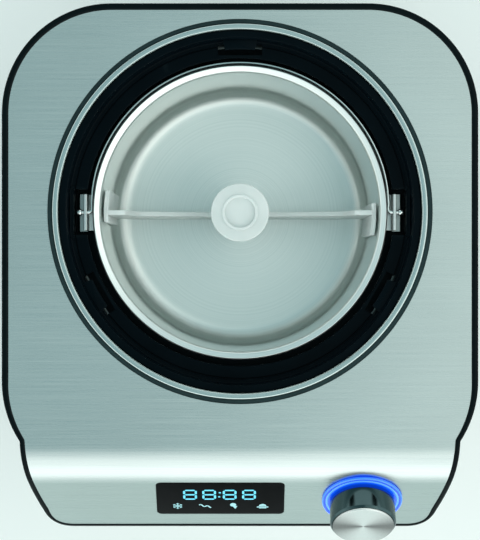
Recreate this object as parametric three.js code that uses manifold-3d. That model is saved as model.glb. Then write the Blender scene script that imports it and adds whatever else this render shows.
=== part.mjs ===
// Countertop ice cream maker with a built-in compressor and a removable two-litre bowl.
// Millimetres, +Z up, front towards -Y. While it is built, the bowl's axis is x = 0, y = 0 and the
// feet stand on z = 0. At the end the whole machine is moved so that the middle of its box is x = 0, y = 0.

import * as THREE from "three";
import { mergeVertices } from "three/addons/utils/BufferGeometryUtils.js";
import Module from "manifold-3d";

const wasm = await Module();
wasm.setup();

// ---------- driving dimensions ----------

const GAP = 0.3; // between solids that touch
const DECK_HEIGHT = 355; // top of the steel deck above the table
const BODY_WIDTH = 286;
const BODY_REAR = 125; // rear wall behind the bowl's axis
const BODY_FRONT = 168; // front wall ahead of the bowl's axis
const BODY_CORNER = 66;
const WALL = 3; // plastic housing walls
const FOOT_HEIGHT = 8;
const FOOT_RADIUS = 13;
const FOOT_INSET = 38; // foot axis from the side wall
const TRAY_HEIGHT = 18;
const SEAM_DROP = 85; // seam between the outer shell and the console frame, below the deck

const SHEET = 1.2; // steel deck
const BAND_WIDTH = 4; // black frame that shows round the steel
const BAND_PROUD = 0.6;
const LEDGE_WIDTH = 3; // the steel rests on this much of the frame
const BEND_START = 140.4; // where the flat deck begins to bend, ahead of the bowl's axis
const BEND_RADIUS = 29.6;
const PANEL_TILT = THREE.MathUtils.degToRad(50);
const PANEL_LENGTH = 49.2;
const NOSE_THICKNESS = 6; // depth of the console's front lip
const NOSE_SIDE_START = 138; // where the console's sides leave the body's round corner
const NOSE_TIP_INSET = 22; // the console's front corners, inside the body's side
const NOSE_FRONT_INSET = 40; // ends of the straight part of the front lip, inside the body's side

const SIDE_MARGIN = 34; // least steel between the mouth and the body's side
const REAR_MARGIN = 16; // and between the mouth and the body's rear
const LIP_HEIGHT = 3.6;
const LIP_WIDTH = 7;
const COLLAR_DEPTH = 14; // deck to the collar's ledge
const COLLAR_SHOULDER = 5; // collar's wall inside the deck's opening
const LEDGE_THICKNESS = 3;
const LEDGE_CLEARANCE = 1.05; // between the bail and the ledge
const CATCH_REACH = 6;
const CATCH_THICKNESS = 3;
const CATCH_RISE = 6; // above the ledge
const CATCH_WIDTH = 20;
const POCKET_HALF_WIDTH = 14;
const POCKET_CLEARANCE = 1.8; // between the bowl's wall and a pocket's inner edge
const BALL_CLEARANCE = 0.9; // between the bail's end and a pocket's outer edge

const RIM_OVERHANG = 3.2; // rim outside the bowl's wall
const BOWL_WALL = 1.6;
const BOWL_DEPTH = 127;
const BOWL_RIM_RISE = 2; // rim above the collar's ledge
const BOWL_CORNER = 14;
const TUBE_RADIUS = 9.5; // bowl's central tube
const TUBE_BORE = 6.5;
const TUBE_HEIGHT = 70;
const LUG_THICKNESS = 2;
const LUG_WIDTH = 22;
const LUG_HEIGHT = 14;
const BAIL_WIRE = 2.5;
const BAIL_CLEARANCE = 0.55; // between the wire and the rim inside it, or the lug outside it
const BAIL_BALL = 4.4;
const BALL_OUTSET = 3.9; // middle of the ball outside the lug's plate
const BAIL_HOLE_CLEARANCE = 0.35;
const BAIL_DROP = 6.5; // pivot below the rim

const WELL_CLEARANCE = 1.1; // round the bowl
const WELL_WALL = 1.2;
const WELL_FLANGE_DROP = 32; // below the deck
const WELL_FLANGE_WIDTH = 3; // beyond the lug pockets
const COIL_TUBE = 8;
const COIL_TURNS = 4;
const COIL_PITCH = 18;
const COIL_CLEARANCE = 2.2; // round the coil's tube, because the coil isn't a true circle
const COIL_TAIL_ANGLE = THREE.MathUtils.degToRad(140); // where the coil's ends come down
const FOAM_THICKNESS = 15.1; // outside the coil's channel
const HEATER_THICKNESS = 1.6;
const HEATER_INNER_RADIUS = 30;
const HEATER_MARGIN = 7.3; // heater's edge inside the well's wall

const SHAFT_RADIUS = 5;
const SHAFT_HEAD = 6; // across the square end
const SHAFT_HEAD_LENGTH = 12;
const SHAFT_SHOULDER = 4; // round part ends this far below the bowl's tube
const SHAFT_CLEARANCE = 0.3;

const PADDLE_DISC_RADIUS = 17.8;
const PADDLE_TOP_DROP = 8; // hub disc below the bowl's rim
const PADDLE_COLUMN_RADIUS = 14.5;
const PADDLE_BLADE = 3;
const SCRAPER_CLEARANCE = 1.4; // between the scrapers and the bowl's wall
const PADDLE_FLOOR_CLEARANCE = 2.2;
const SCRAPER_WIDTH = 20;
const BUSH_WALL = 1.2;

const KNOB_SIDE_MARGIN = 43.8; // body's side to the lit ring
const KNOB_FRONT_MARGIN = 5.8; // lit ring to the front lip, along the slope
const KNOB_RADIUS = 20;
const KNOB_CHAMFER = 1.4; // turned face inside the knob's side
const KNOB_TOP = 20; // face above the panel
const KNOB_FACE_THICKNESS = 1.2;
const KNOB_TRAVEL = 1.5;
const KNOB_SHAFT = 6;
const RING_WIDTH = 4.5; // lit ring outside the knob
const RING_PROUD = 2;
const RING_OVERLAP = 1; // ring's edge over the steel round its hole

const WINDOW_FROM_RING = 23.2; // display window to the lit ring
const WINDOW_WIDTH = 78;
const WINDOW_HEIGHT = 34;
const WINDOW_TOP = 1.2; // upper edge down the slope from the end of the bend
const WINDOW_CORNER = 3;
const WINDOW_THICKNESS = 2.4;
const BOARD_THICKNESS = 1.6;

const SHELF_DROP = 7.5; // underside of the shelf that carries the well, below the well
const SHELF_THICKNESS = 2;
const GEARBOX_HEIGHT = 34;
const GEARBOX_WALL = 2.5;
const GEAR_MODULE = 1.8;
const OUTPUT_TEETH = 30;
const IDLER_TEETH = 24;
const PINION_TEETH = 8;
const GEAR_BACKLASH = 0.25;
const TOOTH_ADDENDUM = 0.8; // modules from the pitch circle to a tooth's tip
const TOOTH_DEDENDUM = 1.15; // modules from the pitch circle to its root
const TOOTH_TIP_SHARE = 0.16; // half of a tooth's width at the tip, as a share of the circular pitch
const TOOTH_ROOT_SHARE = 0.3; // and at the root
const GEAR_WIDTH = 9;
const MOTOR_RADIUS = 31;
const MOTOR_LENGTH = 78;

const COMPRESSOR_RADIUS = 56;
const COMPRESSOR_HEADROOM = 49.6; // under the shelf
const COMPRESSOR_MARGIN = 12; // to the side wall
const COMPRESSOR_Y = -42;
const GROMMET_HEIGHT = 9;
const CONDENSER_SIDE_ROOM = 136; // of the body's width, kept beside the condenser for the pipes
const CONDENSER_HEIGHT = 118;
const CONDENSER_DEPTH = 20;
const CONDENSER_MARGIN = 38; // to the body's side
const FIN_PITCH = 10;
const FIN_SLOT = 5;
const FAN_RADIUS = 46;
const FAN_OFFSET = 10; // fan axis to the right of the condenser's middle
const PIPE = 5;
const CAPILLARY = 2.6;

// ---------- derived places ----------

const HALF_WIDTH = BODY_WIDTH / 2;
const TRAY_BOTTOM = FOOT_HEIGHT + GAP;
const TRAY_TOP = TRAY_BOTTOM + TRAY_HEIGHT;
const TRAY_FLOOR_TOP = TRAY_BOTTOM + WALL;
const SHELL_BOTTOM = TRAY_TOP + GAP;
const SHELL_TOP = DECK_HEIGHT - SEAM_DROP;
const FRAME_BOTTOM = SHELL_TOP + GAP;
const NOSE_TIP_HALF = HALF_WIDTH - NOSE_TIP_INSET;
const NOSE_FRONT_HALF = HALF_WIDTH - NOSE_FRONT_INSET;
const FLAT_HALF_WIDTH = HALF_WIDTH - BODY_CORNER; // flat part of the front and rear walls

// From the mouth inwards: collar, lug pocket, bail's ball, lug, bail's wire, bowl's rim and wall.
const MOUTH_RADIUS = Math.min(HALF_WIDTH - SIDE_MARGIN, BODY_REAR - REAR_MARGIN);
const COLLAR_WALL_RADIUS = MOUTH_RADIUS - COLLAR_SHOULDER;
const POCKET_OUTER = COLLAR_WALL_RADIUS - WALL;
const LUG_OFFSET = POCKET_OUTER - BALL_CLEARANCE - BAIL_BALL / 2 - BALL_OUTSET;
const BAIL_RADIUS = LUG_OFFSET - LUG_THICKNESS / 2 - BAIL_CLEARANCE - BAIL_WIRE / 2;
const BOWL_RIM_RADIUS = BAIL_RADIUS - BAIL_WIRE / 2 - BAIL_CLEARANCE;
const BOWL_RADIUS = BOWL_RIM_RADIUS - RIM_OVERHANG;
const LEDGE_INNER_RADIUS = BAIL_RADIUS + BAIL_WIRE / 2 + LEDGE_CLEARANCE;
const POCKET_INNER = BOWL_RADIUS + POCKET_CLEARANCE;
const PADDLE_RADIUS = BOWL_RADIUS - BOWL_WALL - SCRAPER_CLEARANCE;

const LEDGE_Z = DECK_HEIGHT - COLLAR_DEPTH;
const RIM_Z = LEDGE_Z + BOWL_RIM_RISE;
const BOWL_BOTTOM = RIM_Z - BOWL_DEPTH;
const WELL_RADIUS = BOWL_RADIUS + WELL_CLEARANCE;
const WELL_OUTER = WELL_RADIUS + WELL_WALL;
const WELL_FLOOR_TOP = BOWL_BOTTOM - GAP;
const WELL_BOTTOM = WELL_FLOOR_TOP - WELL_WALL;
const WELL_FLANGE_Z = DECK_HEIGHT - WELL_FLANGE_DROP;
const COIL_RADIUS = WELL_OUTER + COIL_CLEARANCE + COIL_TUBE / 2;
const COIL_CHANNEL = COIL_RADIUS + COIL_TUBE / 2 + COIL_CLEARANCE;
const COIL_TAIL_RADIUS = COIL_CHANNEL + COIL_TUBE / 2;
const WELL_FLANGE_RADIUS = POCKET_OUTER + WELL_FLANGE_WIDTH;
const FOAM_RADIUS = COIL_CHANNEL + FOAM_THICKNESS;
const SHELF_HEIGHT = WELL_BOTTOM - SHELF_DROP;
const SHELF_TOP = SHELF_HEIGHT + SHELF_THICKNESS;
const FOAM_BOTTOM = SHELF_TOP + GAP;
const FOAM_TOP = WELL_FLANGE_Z - WELL_WALL - GAP;
const HEATER_TOP = WELL_BOTTOM - GAP;
const TUBE_TOP = BOWL_BOTTOM + TUBE_HEIGHT;
const SHAFT_TOP = TUBE_TOP + SHAFT_HEAD_LENGTH;
const PADDLE_TOP = RIM_Z - PADDLE_TOP_DROP;
const PADDLE_BOTTOM = BOWL_BOTTOM + BOWL_WALL + PADDLE_FLOOR_CLEARANCE;
const BUSH_BORE = TUBE_RADIUS + GAP;
const BUSH_RADIUS = BUSH_BORE + BUSH_WALL;
const BAIL_Z = RIM_Z - BAIL_DROP;
const GEARBOX_TOP = SHELF_HEIGHT - GAP;
const GEARBOX_BOTTOM = GEARBOX_TOP - GEARBOX_HEIGHT;
const OUTPUT_RADIUS = (OUTPUT_TEETH * GEAR_MODULE) / 2;
const IDLER_RADIUS = (IDLER_TEETH * GEAR_MODULE) / 2;
const PINION_RADIUS = (PINION_TEETH * GEAR_MODULE) / 2;
const IDLER_X = OUTPUT_RADIUS + IDLER_RADIUS;
const MOTOR_X = IDLER_X + IDLER_RADIUS + PINION_RADIUS;
const RING_RADIUS = KNOB_RADIUS + RING_WIDTH;
const KNOB_FACE_RADIUS = KNOB_RADIUS - KNOB_CHAMFER;
const KNOB_X = HALF_WIDTH - KNOB_SIDE_MARGIN - RING_RADIUS;
const KNOB_DOWN_PANEL = PANEL_LENGTH - KNOB_FRONT_MARGIN - RING_RADIUS; // knob's axis down the slope
const WINDOW_X = KNOB_X - RING_RADIUS - WINDOW_FROM_RING - WINDOW_WIDTH / 2;
const COMPRESSOR_X = -HALF_WIDTH + WALL + COMPRESSOR_MARGIN + COMPRESSOR_RADIUS;

const FINISHES = {
  brushedSteel: { color: 0xb9c4c2, roughness: 0.35, metalness: 0.9 },
  darkPlastic: { color: 0x15191b, roughness: 0.4, metalness: 0 },
  greyPlastic: { color: 0x5b6164, roughness: 0.6, metalness: 0 },
  aluminium: { color: 0xc9ced0, roughness: 0.35, metalness: 0.85 },
  copper: { color: 0xb87345, roughness: 0.35, metalness: 0.9 },
  foam: { color: 0xe6dcb4, roughness: 0.95, metalness: 0 },
  frosted: { color: 0xe3ecea, roughness: 0.6, metalness: 0 },
  rubber: { color: 0x202224, roughness: 0.9, metalness: 0 },
  blackSteel: { color: 0x1c1e20, roughness: 0.45, metalness: 0.6 },
  blueLight: { color: 0x2a6fe0, roughness: 0.2, metalness: 0 },
  glass: { color: 0x050607, roughness: 0.1, metalness: 0 },
  board: { color: 0x1f5a3a, roughness: 0.6, metalness: 0 },
  nylon: { color: 0xe9e6dc, roughness: 0.55, metalness: 0 },
  zinc: { color: 0xa9adb0, roughness: 0.35, metalness: 0.9 },
};

// ---------- solids ----------

const SMALL_SIDES = 12; // facets round a pin, a foot or a boss
const MEDIUM_SIDES = 20; // and round a gear's hub, a motor or a seal
const LARGE_SIDES = 32; // and round a large turned piece
const KNOB_SIDES = 28; // and round the knob and its ring
const MOUTH_SIDES = 36; // and round the mouth, the collar and the bowl
const CORNER_STEPS = 5; // facets along each curve of an outline

function toSolid(geometry) {
  const bare = geometry.clone();
  bare.deleteAttribute("normal");
  bare.deleteAttribute("uv");
  const merged = mergeVertices(bare, 1e-4);
  const mesh = new wasm.Mesh({
    numProp: 3,
    vertProperties: new Float32Array(merged.attributes.position.array),
    triVerts: new Uint32Array(merged.index.array),
  });
  return new wasm.Manifold(mesh);
}

function toGeometry(solid) {
  const mesh = solid.getMesh();
  const geometry = new THREE.BufferGeometry();
  geometry.setAttribute("position", new THREE.BufferAttribute(mesh.vertProperties, 3));
  geometry.setIndex(new THREE.BufferAttribute(mesh.triVerts, 1));
  geometry.computeVertexNormals();
  return geometry;
}

function subtract(body, ...cutters) {
  return toGeometry(cutters.reduce((solid, cutter) => solid.subtract(toSolid(cutter)), toSolid(body)));
}

function add(body, ...others) {
  return toGeometry(others.reduce((solid, other) => solid.add(toSolid(other)), toSolid(body)));
}

function intersect(body, other) {
  return toGeometry(toSolid(body).intersect(toSolid(other)));
}

function block(width, depth, height, x = 0, y = 0, z = 0) {
  return new THREE.BoxGeometry(width, depth, height).translate(x, y, z);
}

// An upright cylinder between two heights.
function post(radius, bottom, top, x = 0, y = 0, sides = 16) {
  const cylinder = new THREE.CylinderGeometry(radius, radius, top - bottom, sides);
  return cylinder.rotateX(Math.PI / 2).translate(x, y, (bottom + top) / 2);
}

// A solid of revolution about Z from [radius, height] pairs that close on themselves.
function turned(profile, sides = LARGE_SIDES) {
  const points = [...profile, profile[0]].map(([radius, height]) => new THREE.Vector2(radius, height));
  const lathe = new THREE.LatheGeometry(points, sides).rotateX(Math.PI / 2);
  return outward(lathe);
}

// Profiles may run either way round, so a solid that comes out inside out is flipped.
function outward(geometry) {
  const position = geometry.attributes.position;
  const index = geometry.index.array;
  const corner = [new THREE.Vector3(), new THREE.Vector3(), new THREE.Vector3()];
  let volume = 0;
  for (let i = 0; i < index.length; i += 3) {
    corner.forEach((point, k) => point.fromBufferAttribute(position, index[i + k]));
    volume += corner[0].dot(corner[1].clone().cross(corner[2]));
  }
  if (volume < 0) {
    for (let i = 0; i < index.length; i += 3) {
      [index[i], index[i + 1]] = [index[i + 1], index[i]];
    }
  }
  return geometry;
}

function ring(innerRadius, outerRadius, bottom, top, sides = LARGE_SIDES) {
  return turned(
    [
      [innerRadius, bottom],
      [outerRadius, bottom],
      [outerRadius, top],
      [innerRadius, top],
    ],
    sides,
  );
}

function prism(shape, bottom, top, curveSegments = CORNER_STEPS) {
  const settings = { depth: top - bottom, bevelEnabled: false, curveSegments };
  return new THREE.ExtrudeGeometry(shape, settings).translate(0, 0, bottom);
}

// A side-view outline (y forward of the axis is negative, z up) carried across the whole width.
function sideRegion(shape, width, curveSegments = CORNER_STEPS) {
  const settings = { depth: width, bevelEnabled: false, curveSegments };
  const region = new THREE.ExtrudeGeometry(shape, settings);
  const swap = new THREE.Matrix4().set(0, 0, 1, -width / 2, 1, 0, 0, 0, 0, 1, 0, 0, 0, 0, 0, 1);
  return region.applyMatrix4(swap);
}

function roundedRectangle(width, height, corner) {
  const x = width / 2;
  const y = height / 2;
  const shape = new THREE.Shape();
  shape.moveTo(-x + corner, -y);
  shape.lineTo(x - corner, -y);
  shape.absarc(x - corner, -y + corner, corner, -Math.PI / 2, 0);
  shape.lineTo(x, y - corner);
  shape.absarc(x - corner, y - corner, corner, 0, Math.PI / 2);
  shape.lineTo(-x + corner, y);
  shape.absarc(-x + corner, y - corner, corner, Math.PI / 2, Math.PI);
  shape.lineTo(-x, -y + corner);
  shape.absarc(-x + corner, -y + corner, corner, Math.PI, 1.5 * Math.PI);
  return shape;
}

// A round tube along a smooth curve through the points.
function tube(points, diameter, steps, sides = 8) {
  const section = new THREE.Shape();
  for (let i = 0; i < sides; i += 1) {
    const angle = (i / sides) * 2 * Math.PI;
    const x = (diameter / 2) * Math.cos(angle);
    const y = (diameter / 2) * Math.sin(angle);
    if (i === 0) section.moveTo(x, y);
    else section.lineTo(x, y);
  }
  const route = new THREE.CatmullRomCurve3(points, false, "centripetal");
  const settings = { steps, bevelEnabled: false, extrudePath: route };
  return outward(mergeVertices(new THREE.ExtrudeGeometry(section, settings)));
}

function point(x, y, z) {
  return new THREE.Vector3(x, y, z);
}

// ---------- scene graph ----------

const machine = new THREE.Group();

function part(name, geometry, finish, parent = machine) {
  const material = new THREE.MeshStandardMaterial(finish);
  const mesh = new THREE.Mesh(geometry, material);
  mesh.name = name;
  parent.add(mesh);
  return mesh;
}

// ---------- outlines ----------

// The body in plan: a rounded rectangle, drawn this far inside the outer wall.
function bodyOutline(inset) {
  const width = BODY_WIDTH - 2 * inset;
  const depth = BODY_REAR + BODY_FRONT - 2 * inset;
  return roundedRectangle(width, depth, BODY_CORNER - inset);
}

const BODY_MIDDLE = (BODY_REAR - BODY_FRONT) / 2;

function bodyPrism(inset, bottom, top) {
  return prism(bodyOutline(inset), bottom, top).translate(0, BODY_MIDDLE, 0);
}

const NOSE_FRONT = BEND_START + BEND_RADIUS * Math.sin(PANEL_TILT) + PANEL_LENGTH * Math.cos(PANEL_TILT);

// The top in plan: the body's outline behind, and the console's narrowing nose in front.
function topOutline(inset) {
  const x = HALF_WIDTH - inset;
  const corner = BODY_CORNER - inset;
  const rear = BODY_REAR - inset;
  const centreY = BODY_CORNER - BODY_FRONT;
  const centreX = HALF_WIDTH - BODY_CORNER;
  const kinkY = -NOSE_SIDE_START;
  const kinkAngle = Math.asin((centreY - kinkY) / corner);
  const kinkX = centreX + corner * Math.cos(kinkAngle);
  const noseInset = Math.min(inset, BAND_WIDTH + LEDGE_WIDTH);
  const tipX = NOSE_TIP_HALF - noseInset;
  const tipY = -(NOSE_FRONT - (BODY_FRONT - BEND_START) / 2.4);
  const frontX = NOSE_FRONT_HALF - noseInset / 2;
  const frontY = -NOSE_FRONT + frontInset(inset);
  const shape = new THREE.Shape();
  shape.moveTo(-frontX, frontY);
  shape.lineTo(frontX, frontY);
  shape.quadraticCurveTo(tipX - 4, frontY, tipX, tipY);
  shape.quadraticCurveTo(kinkX - 1, (kinkY + tipY) / 2, kinkX, kinkY);
  shape.absarc(centreX, centreY, corner, -kinkAngle, 0);
  shape.lineTo(x, rear - corner);
  shape.absarc(centreX, rear - corner, corner, 0, Math.PI / 2);
  shape.lineTo(-centreX, rear);
  shape.absarc(-centreX, rear - corner, corner, Math.PI / 2, Math.PI);
  shape.lineTo(-x, centreY);
  shape.absarc(-centreX, centreY, corner, Math.PI, Math.PI + kinkAngle);
  shape.quadraticCurveTo(-kinkX + 1, (kinkY + tipY) / 2, -tipX, tipY);
  shape.quadraticCurveTo(-tipX + 4, frontY, -frontX, frontY);
  return shape;
}

// The black band is thinner along the front lip than at the sides.
function frontInset(inset) {
  const lipShare = 0.4;
  return inset <= BAND_WIDTH + GAP ? inset * lipShare : inset - BAND_WIDTH * (1 - lipShare);
}

// Adds the deck's side profile at a depth below its top face, from the rear to the front lip.
function traceDeck(shape, depth, rearY, extra = 0) {
  const radius = BEND_RADIUS - depth;
  const centreZ = DECK_HEIGHT - BEND_RADIUS;
  const upright = Math.PI / 2;
  shape.lineTo(rearY, DECK_HEIGHT - depth);
  shape.lineTo(-BEND_START, DECK_HEIGHT - depth);
  shape.absarc(-BEND_START, centreZ, radius, upright, upright + PANEL_TILT);
  const run = PANEL_LENGTH + extra;
  const endY = -BEND_START - radius * Math.sin(PANEL_TILT) - run * Math.cos(PANEL_TILT);
  const endZ = centreZ + radius * Math.cos(PANEL_TILT) - run * Math.sin(PANEL_TILT);
  shape.lineTo(endY, endZ);
}

const PAST_EDGE = 20; // cutting shapes run this far past what they cut

// Everything under the deck's surface, at a depth below its top face.
function underDeck(depth) {
  const rearY = BODY_REAR + PAST_EDGE;
  const shape = new THREE.Shape();
  shape.moveTo(rearY, 0);
  traceDeck(shape, depth, rearY, PAST_EDGE);
  shape.lineTo(-NOSE_FRONT - PAST_EDGE, 0);
  return sideRegion(shape, BODY_WIDTH + PAST_EDGE);
}

const NOSE_TIP_Z =
  DECK_HEIGHT - BEND_RADIUS * (1 - Math.cos(PANEL_TILT)) - PANEL_LENGTH * Math.sin(PANEL_TILT);

// Everything above the console's underside, which rises from the body's front wall to the lip.
function aboveNose(thickness) {
  const wallY = -BODY_FRONT + (thickness > 0 ? WALL : 0);
  const top = DECK_HEIGHT + PAST_EDGE;
  const rearY = BODY_REAR + PAST_EDGE;
  const shape = new THREE.Shape();
  shape.moveTo(rearY, 0);
  shape.lineTo(rearY, top);
  shape.lineTo(-NOSE_FRONT - PAST_EDGE, top);
  const rise = (NOSE_TIP_Z - NOSE_THICKNESS - FRAME_BOTTOM) / (NOSE_FRONT - BODY_FRONT);
  const tipZ = FRAME_BOTTOM + thickness + rise * (NOSE_FRONT + PAST_EDGE - BODY_FRONT);
  shape.lineTo(-NOSE_FRONT - PAST_EDGE, tipZ);
  shape.lineTo(wallY, FRAME_BOTTOM + thickness);
  shape.lineTo(wallY, 0);
  return sideRegion(shape, BODY_WIDTH + PAST_EDGE);
}

// ---------- sloping panel ----------

// A group whose x runs across, y up the slope and z straight out of the panel, from the end of the bend.
function panelGroup(x, down) {
  const group = new THREE.Group();
  const y = -BEND_START - BEND_RADIUS * Math.sin(PANEL_TILT) - down * Math.cos(PANEL_TILT);
  const z = DECK_HEIGHT - BEND_RADIUS * (1 - Math.cos(PANEL_TILT)) - down * Math.sin(PANEL_TILT);
  group.position.set(x, y, z);
  group.rotation.x = PANEL_TILT;
  group.updateMatrixWorld(true);
  return group;
}

const windowGroup = panelGroup(WINDOW_X, WINDOW_TOP + WINDOW_HEIGHT / 2);
const knobGroup = panelGroup(KNOB_X, KNOB_DOWN_PANEL);

function windowPlate(clearance, bottom, top) {
  const shape = roundedRectangle(
    WINDOW_WIDTH + 2 * clearance,
    WINDOW_HEIGHT + 2 * clearance,
    WINDOW_CORNER + clearance,
  );
  return prism(shape, bottom, top, 3);
}

// ---------- housing ----------

const FEET = [
  ["foot_front_left", -1, -BODY_FRONT + FOOT_INSET],
  ["foot_front_right", 1, -BODY_FRONT + FOOT_INSET],
  ["foot_rear_left", -1, BODY_REAR - FOOT_INSET],
  ["foot_rear_right", 1, BODY_REAR - FOOT_INSET],
];
const FOOT_X = HALF_WIDTH - FOOT_INSET;
const FOOT_STEM = 4;
const FOOT_TAPER = 2; // a foot is this much narrower at the floor

function buildFeet() {
  for (const [name, side, y] of FEET) {
    const foot = turned(
      [
        [0, 0],
        [FOOT_RADIUS - FOOT_TAPER, 0],
        [FOOT_RADIUS, FOOT_HEIGHT],
        [FOOT_STEM, FOOT_HEIGHT],
        [FOOT_STEM, TRAY_FLOOR_TOP],
        [0, TRAY_FLOOR_TOP],
      ],
      SMALL_SIDES,
    );
    part(name, foot, FINISHES.rubber).position.set(side * FOOT_X, y, 0);
  }
}

const TRAY_SLOTS = 5;
const TRAY_SLOT_WIDTH = 7;
const TRAY_SLOT_LENGTH = 60;
const TRAY_SLOT_PITCH = 16;
const TRAY_SLOT_X = 20; // first slot, under the fan
const TRAY_SLOT_Y = 40;

function buildBaseTray() {
  const holes = FEET.map(([, side, y]) =>
    post(FOOT_STEM + GAP, 0, TRAY_TOP, side * FOOT_X, y, SMALL_SIDES),
  );
  const slots = [];
  for (let i = 0; i < TRAY_SLOTS; i += 1) {
    const x = TRAY_SLOT_X + i * TRAY_SLOT_PITCH;
    slots.push(block(TRAY_SLOT_WIDTH, TRAY_SLOT_LENGTH, PAST_EDGE, x, TRAY_SLOT_Y, TRAY_BOTTOM));
  }
  const tray = subtract(
    bodyPrism(0, TRAY_BOTTOM, TRAY_TOP),
    bodyPrism(WALL, TRAY_FLOOR_TOP, TRAY_TOP + PAST_EDGE),
    ...holes,
    ...slots,
  );
  part("base_tray", tray, FINISHES.darkPlastic);
}

const SHELF_RIB = 5;
const SHELF_RIB_HEIGHT = 4;
const SIDE_VENTS = 6;
const SIDE_VENT_WIDTH = 6;
const SIDE_VENT_HEIGHT = 56;
const SIDE_VENT_PITCH = 17;
const SIDE_VENT_Z = 75;
const COVER_SIDE_MARGIN = 4; // inside the rear wall's flat part
const GLAND_ROOM = 30; // kept for the cord gland beside the cover
const COVER_WIDTH = 2 * FLAT_HALF_WIDTH - COVER_SIDE_MARGIN - GLAND_ROOM;
const COVER_X = FLAT_HALF_WIDTH - COVER_SIDE_MARGIN - COVER_WIDTH / 2;
const COVER_FOOT = 1.4; // cover's lower edge above the shell's
const COVER_HEAD = 86; // cover's upper edge below the shell's
const COVER_HEIGHT = SHELL_TOP - SHELL_BOTTOM - COVER_FOOT - COVER_HEAD;
const COVER_Z = SHELL_BOTTOM + COVER_FOOT + COVER_HEIGHT / 2;
const COVER_STEP = 4;
const COVER_THICKNESS = 1.6;
const FRONT_PANEL_MARGIN = 2; // inside the front wall's flat part
const FRONT_PANEL_EDGE = 10.7; // inside the shell's upper and lower edges
const FRONT_PANEL_WIDTH = 2 * (FLAT_HALF_WIDTH - FRONT_PANEL_MARGIN);
const FRONT_PANEL_HEIGHT = SHELL_TOP - SHELL_BOTTOM - 2 * FRONT_PANEL_EDGE;
const FRONT_PANEL_THICKNESS = 1;

const FRONT_PANEL_Z = (SHELL_BOTTOM + SHELL_TOP) / 2;

function rearRecess() {
  return block(
    COVER_WIDTH,
    COVER_THICKNESS + GAP + PAST_EDGE,
    COVER_HEIGHT,
    COVER_X,
    BODY_REAR - COVER_THICKNESS - GAP + (COVER_THICKNESS + GAP + PAST_EDGE) / 2,
    COVER_Z,
  );
}

const GLAND_INSET = 13; // from the end of the rear wall's flat part
const GLAND_X = GLAND_INSET - FLAT_HALF_WIDTH;
const GLAND_Z = 40;
const GLAND_RADIUS = 7;
const GLAND_BORE = 4;
const GLAND_DEPTH = 12; // inside the rear wall
const GLAND_CONE = 4;
const GLAND_FLANGE = 3;

function buildOuterShell() {
  const rib = subtract(
    bodyPrism(WALL / 2, SHELF_HEIGHT - GAP - SHELF_RIB_HEIGHT, SHELF_HEIGHT - GAP),
    bodyPrism(WALL + SHELF_RIB, SHELF_HEIGHT - PAST_EDGE, SHELF_HEIGHT + PAST_EDGE),
  );
  const walls = subtract(
    bodyPrism(0, SHELL_BOTTOM, SHELL_TOP),
    bodyPrism(WALL, SHELL_BOTTOM - PAST_EDGE, SHELL_TOP + PAST_EDGE),
  );
  const vents = [];
  for (let i = 0; i < SIDE_VENTS; i += 1) {
    const y = BODY_MIDDLE + (i - (SIDE_VENTS - 1) / 2) * SIDE_VENT_PITCH;
    vents.push(block(BODY_WIDTH + PAST_EDGE, SIDE_VENT_WIDTH, SIDE_VENT_HEIGHT, 0, y, SIDE_VENT_Z));
  }
  const opening = block(
    COVER_WIDTH - 2 * COVER_STEP,
    PAST_EDGE,
    COVER_HEIGHT - 2 * COVER_STEP,
    COVER_X,
    BODY_REAR,
    COVER_Z,
  );
  const frontRecess = block(
    FRONT_PANEL_WIDTH,
    2 * (FRONT_PANEL_THICKNESS + GAP),
    FRONT_PANEL_HEIGHT,
    0,
    -BODY_FRONT,
    FRONT_PANEL_Z,
  );
  const glandHole = post(GLAND_RADIUS + GAP, -PAST_EDGE, PAST_EDGE, 0, 0, MEDIUM_SIDES)
    .rotateX(Math.PI / 2)
    .translate(GLAND_X, BODY_REAR, GLAND_Z);
  const shell = subtract(add(walls, rib), ...vents, rearRecess(), opening, frontRecess, glandHole);
  part("outer_shell", shell, FINISHES.darkPlastic);
}

// A flanged collar with a bore, where a mains cord would come in.
function buildCordGland() {
  const flangeRadius = GLAND_RADIUS + GLAND_FLANGE;
  const end = GLAND_CONE + GLAND_FLANGE;
  const gland = turned(
    [
      [GLAND_BORE, -GLAND_DEPTH],
      [GLAND_RADIUS, -GLAND_DEPTH],
      [GLAND_RADIUS, 0],
      [flangeRadius, GLAND_CONE],
      [flangeRadius, end],
      [GLAND_BORE, end],
    ],
    MEDIUM_SIDES,
  );
  gland.rotateX(-Math.PI / 2);
  part("cord_gland", gland, FINISHES.rubber).position.set(
    GLAND_X,
    BODY_REAR,
    GLAND_Z,
  );
}

function buildFrontPanel() {
  const plate = block(
    FRONT_PANEL_WIDTH - 2 * GAP,
    FRONT_PANEL_THICKNESS,
    FRONT_PANEL_HEIGHT - 2 * GAP,
    0,
    -BODY_FRONT + FRONT_PANEL_THICKNESS / 2,
    FRONT_PANEL_Z,
  );
  part("front_panel", plate, FINISHES.brushedSteel);
}

const SCREW_INSET = 12; // from the cover's edges
const SCREW_X = COVER_WIDTH / 2 - SCREW_INSET;
const SCREW_Z = COVER_HEIGHT / 2 - SCREW_INSET;
const SCREW_RADIUS = 1.6;
const SCREW_HEAD_RADIUS = 3.2;
const SCREW_HEAD_HEIGHT = 1.8;
const SCREW_HEAD_SLOPE = 0.8;
const SCREW_LENGTH = 8;
const COVER_SLOTS = 9;
const COVER_SLOT_HEIGHT = 5.5;
const COVER_SLOT_PITCH = 13;
const COVER_SLOT_MARGIN = 18; // from the cover's side edges
const COVER_CORNERS = [
  ["cover_screw_1", -1, -1],
  ["cover_screw_2", 1, -1],
  ["cover_screw_3", -1, 1],
  ["cover_screw_4", 1, 1],
];

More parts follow.
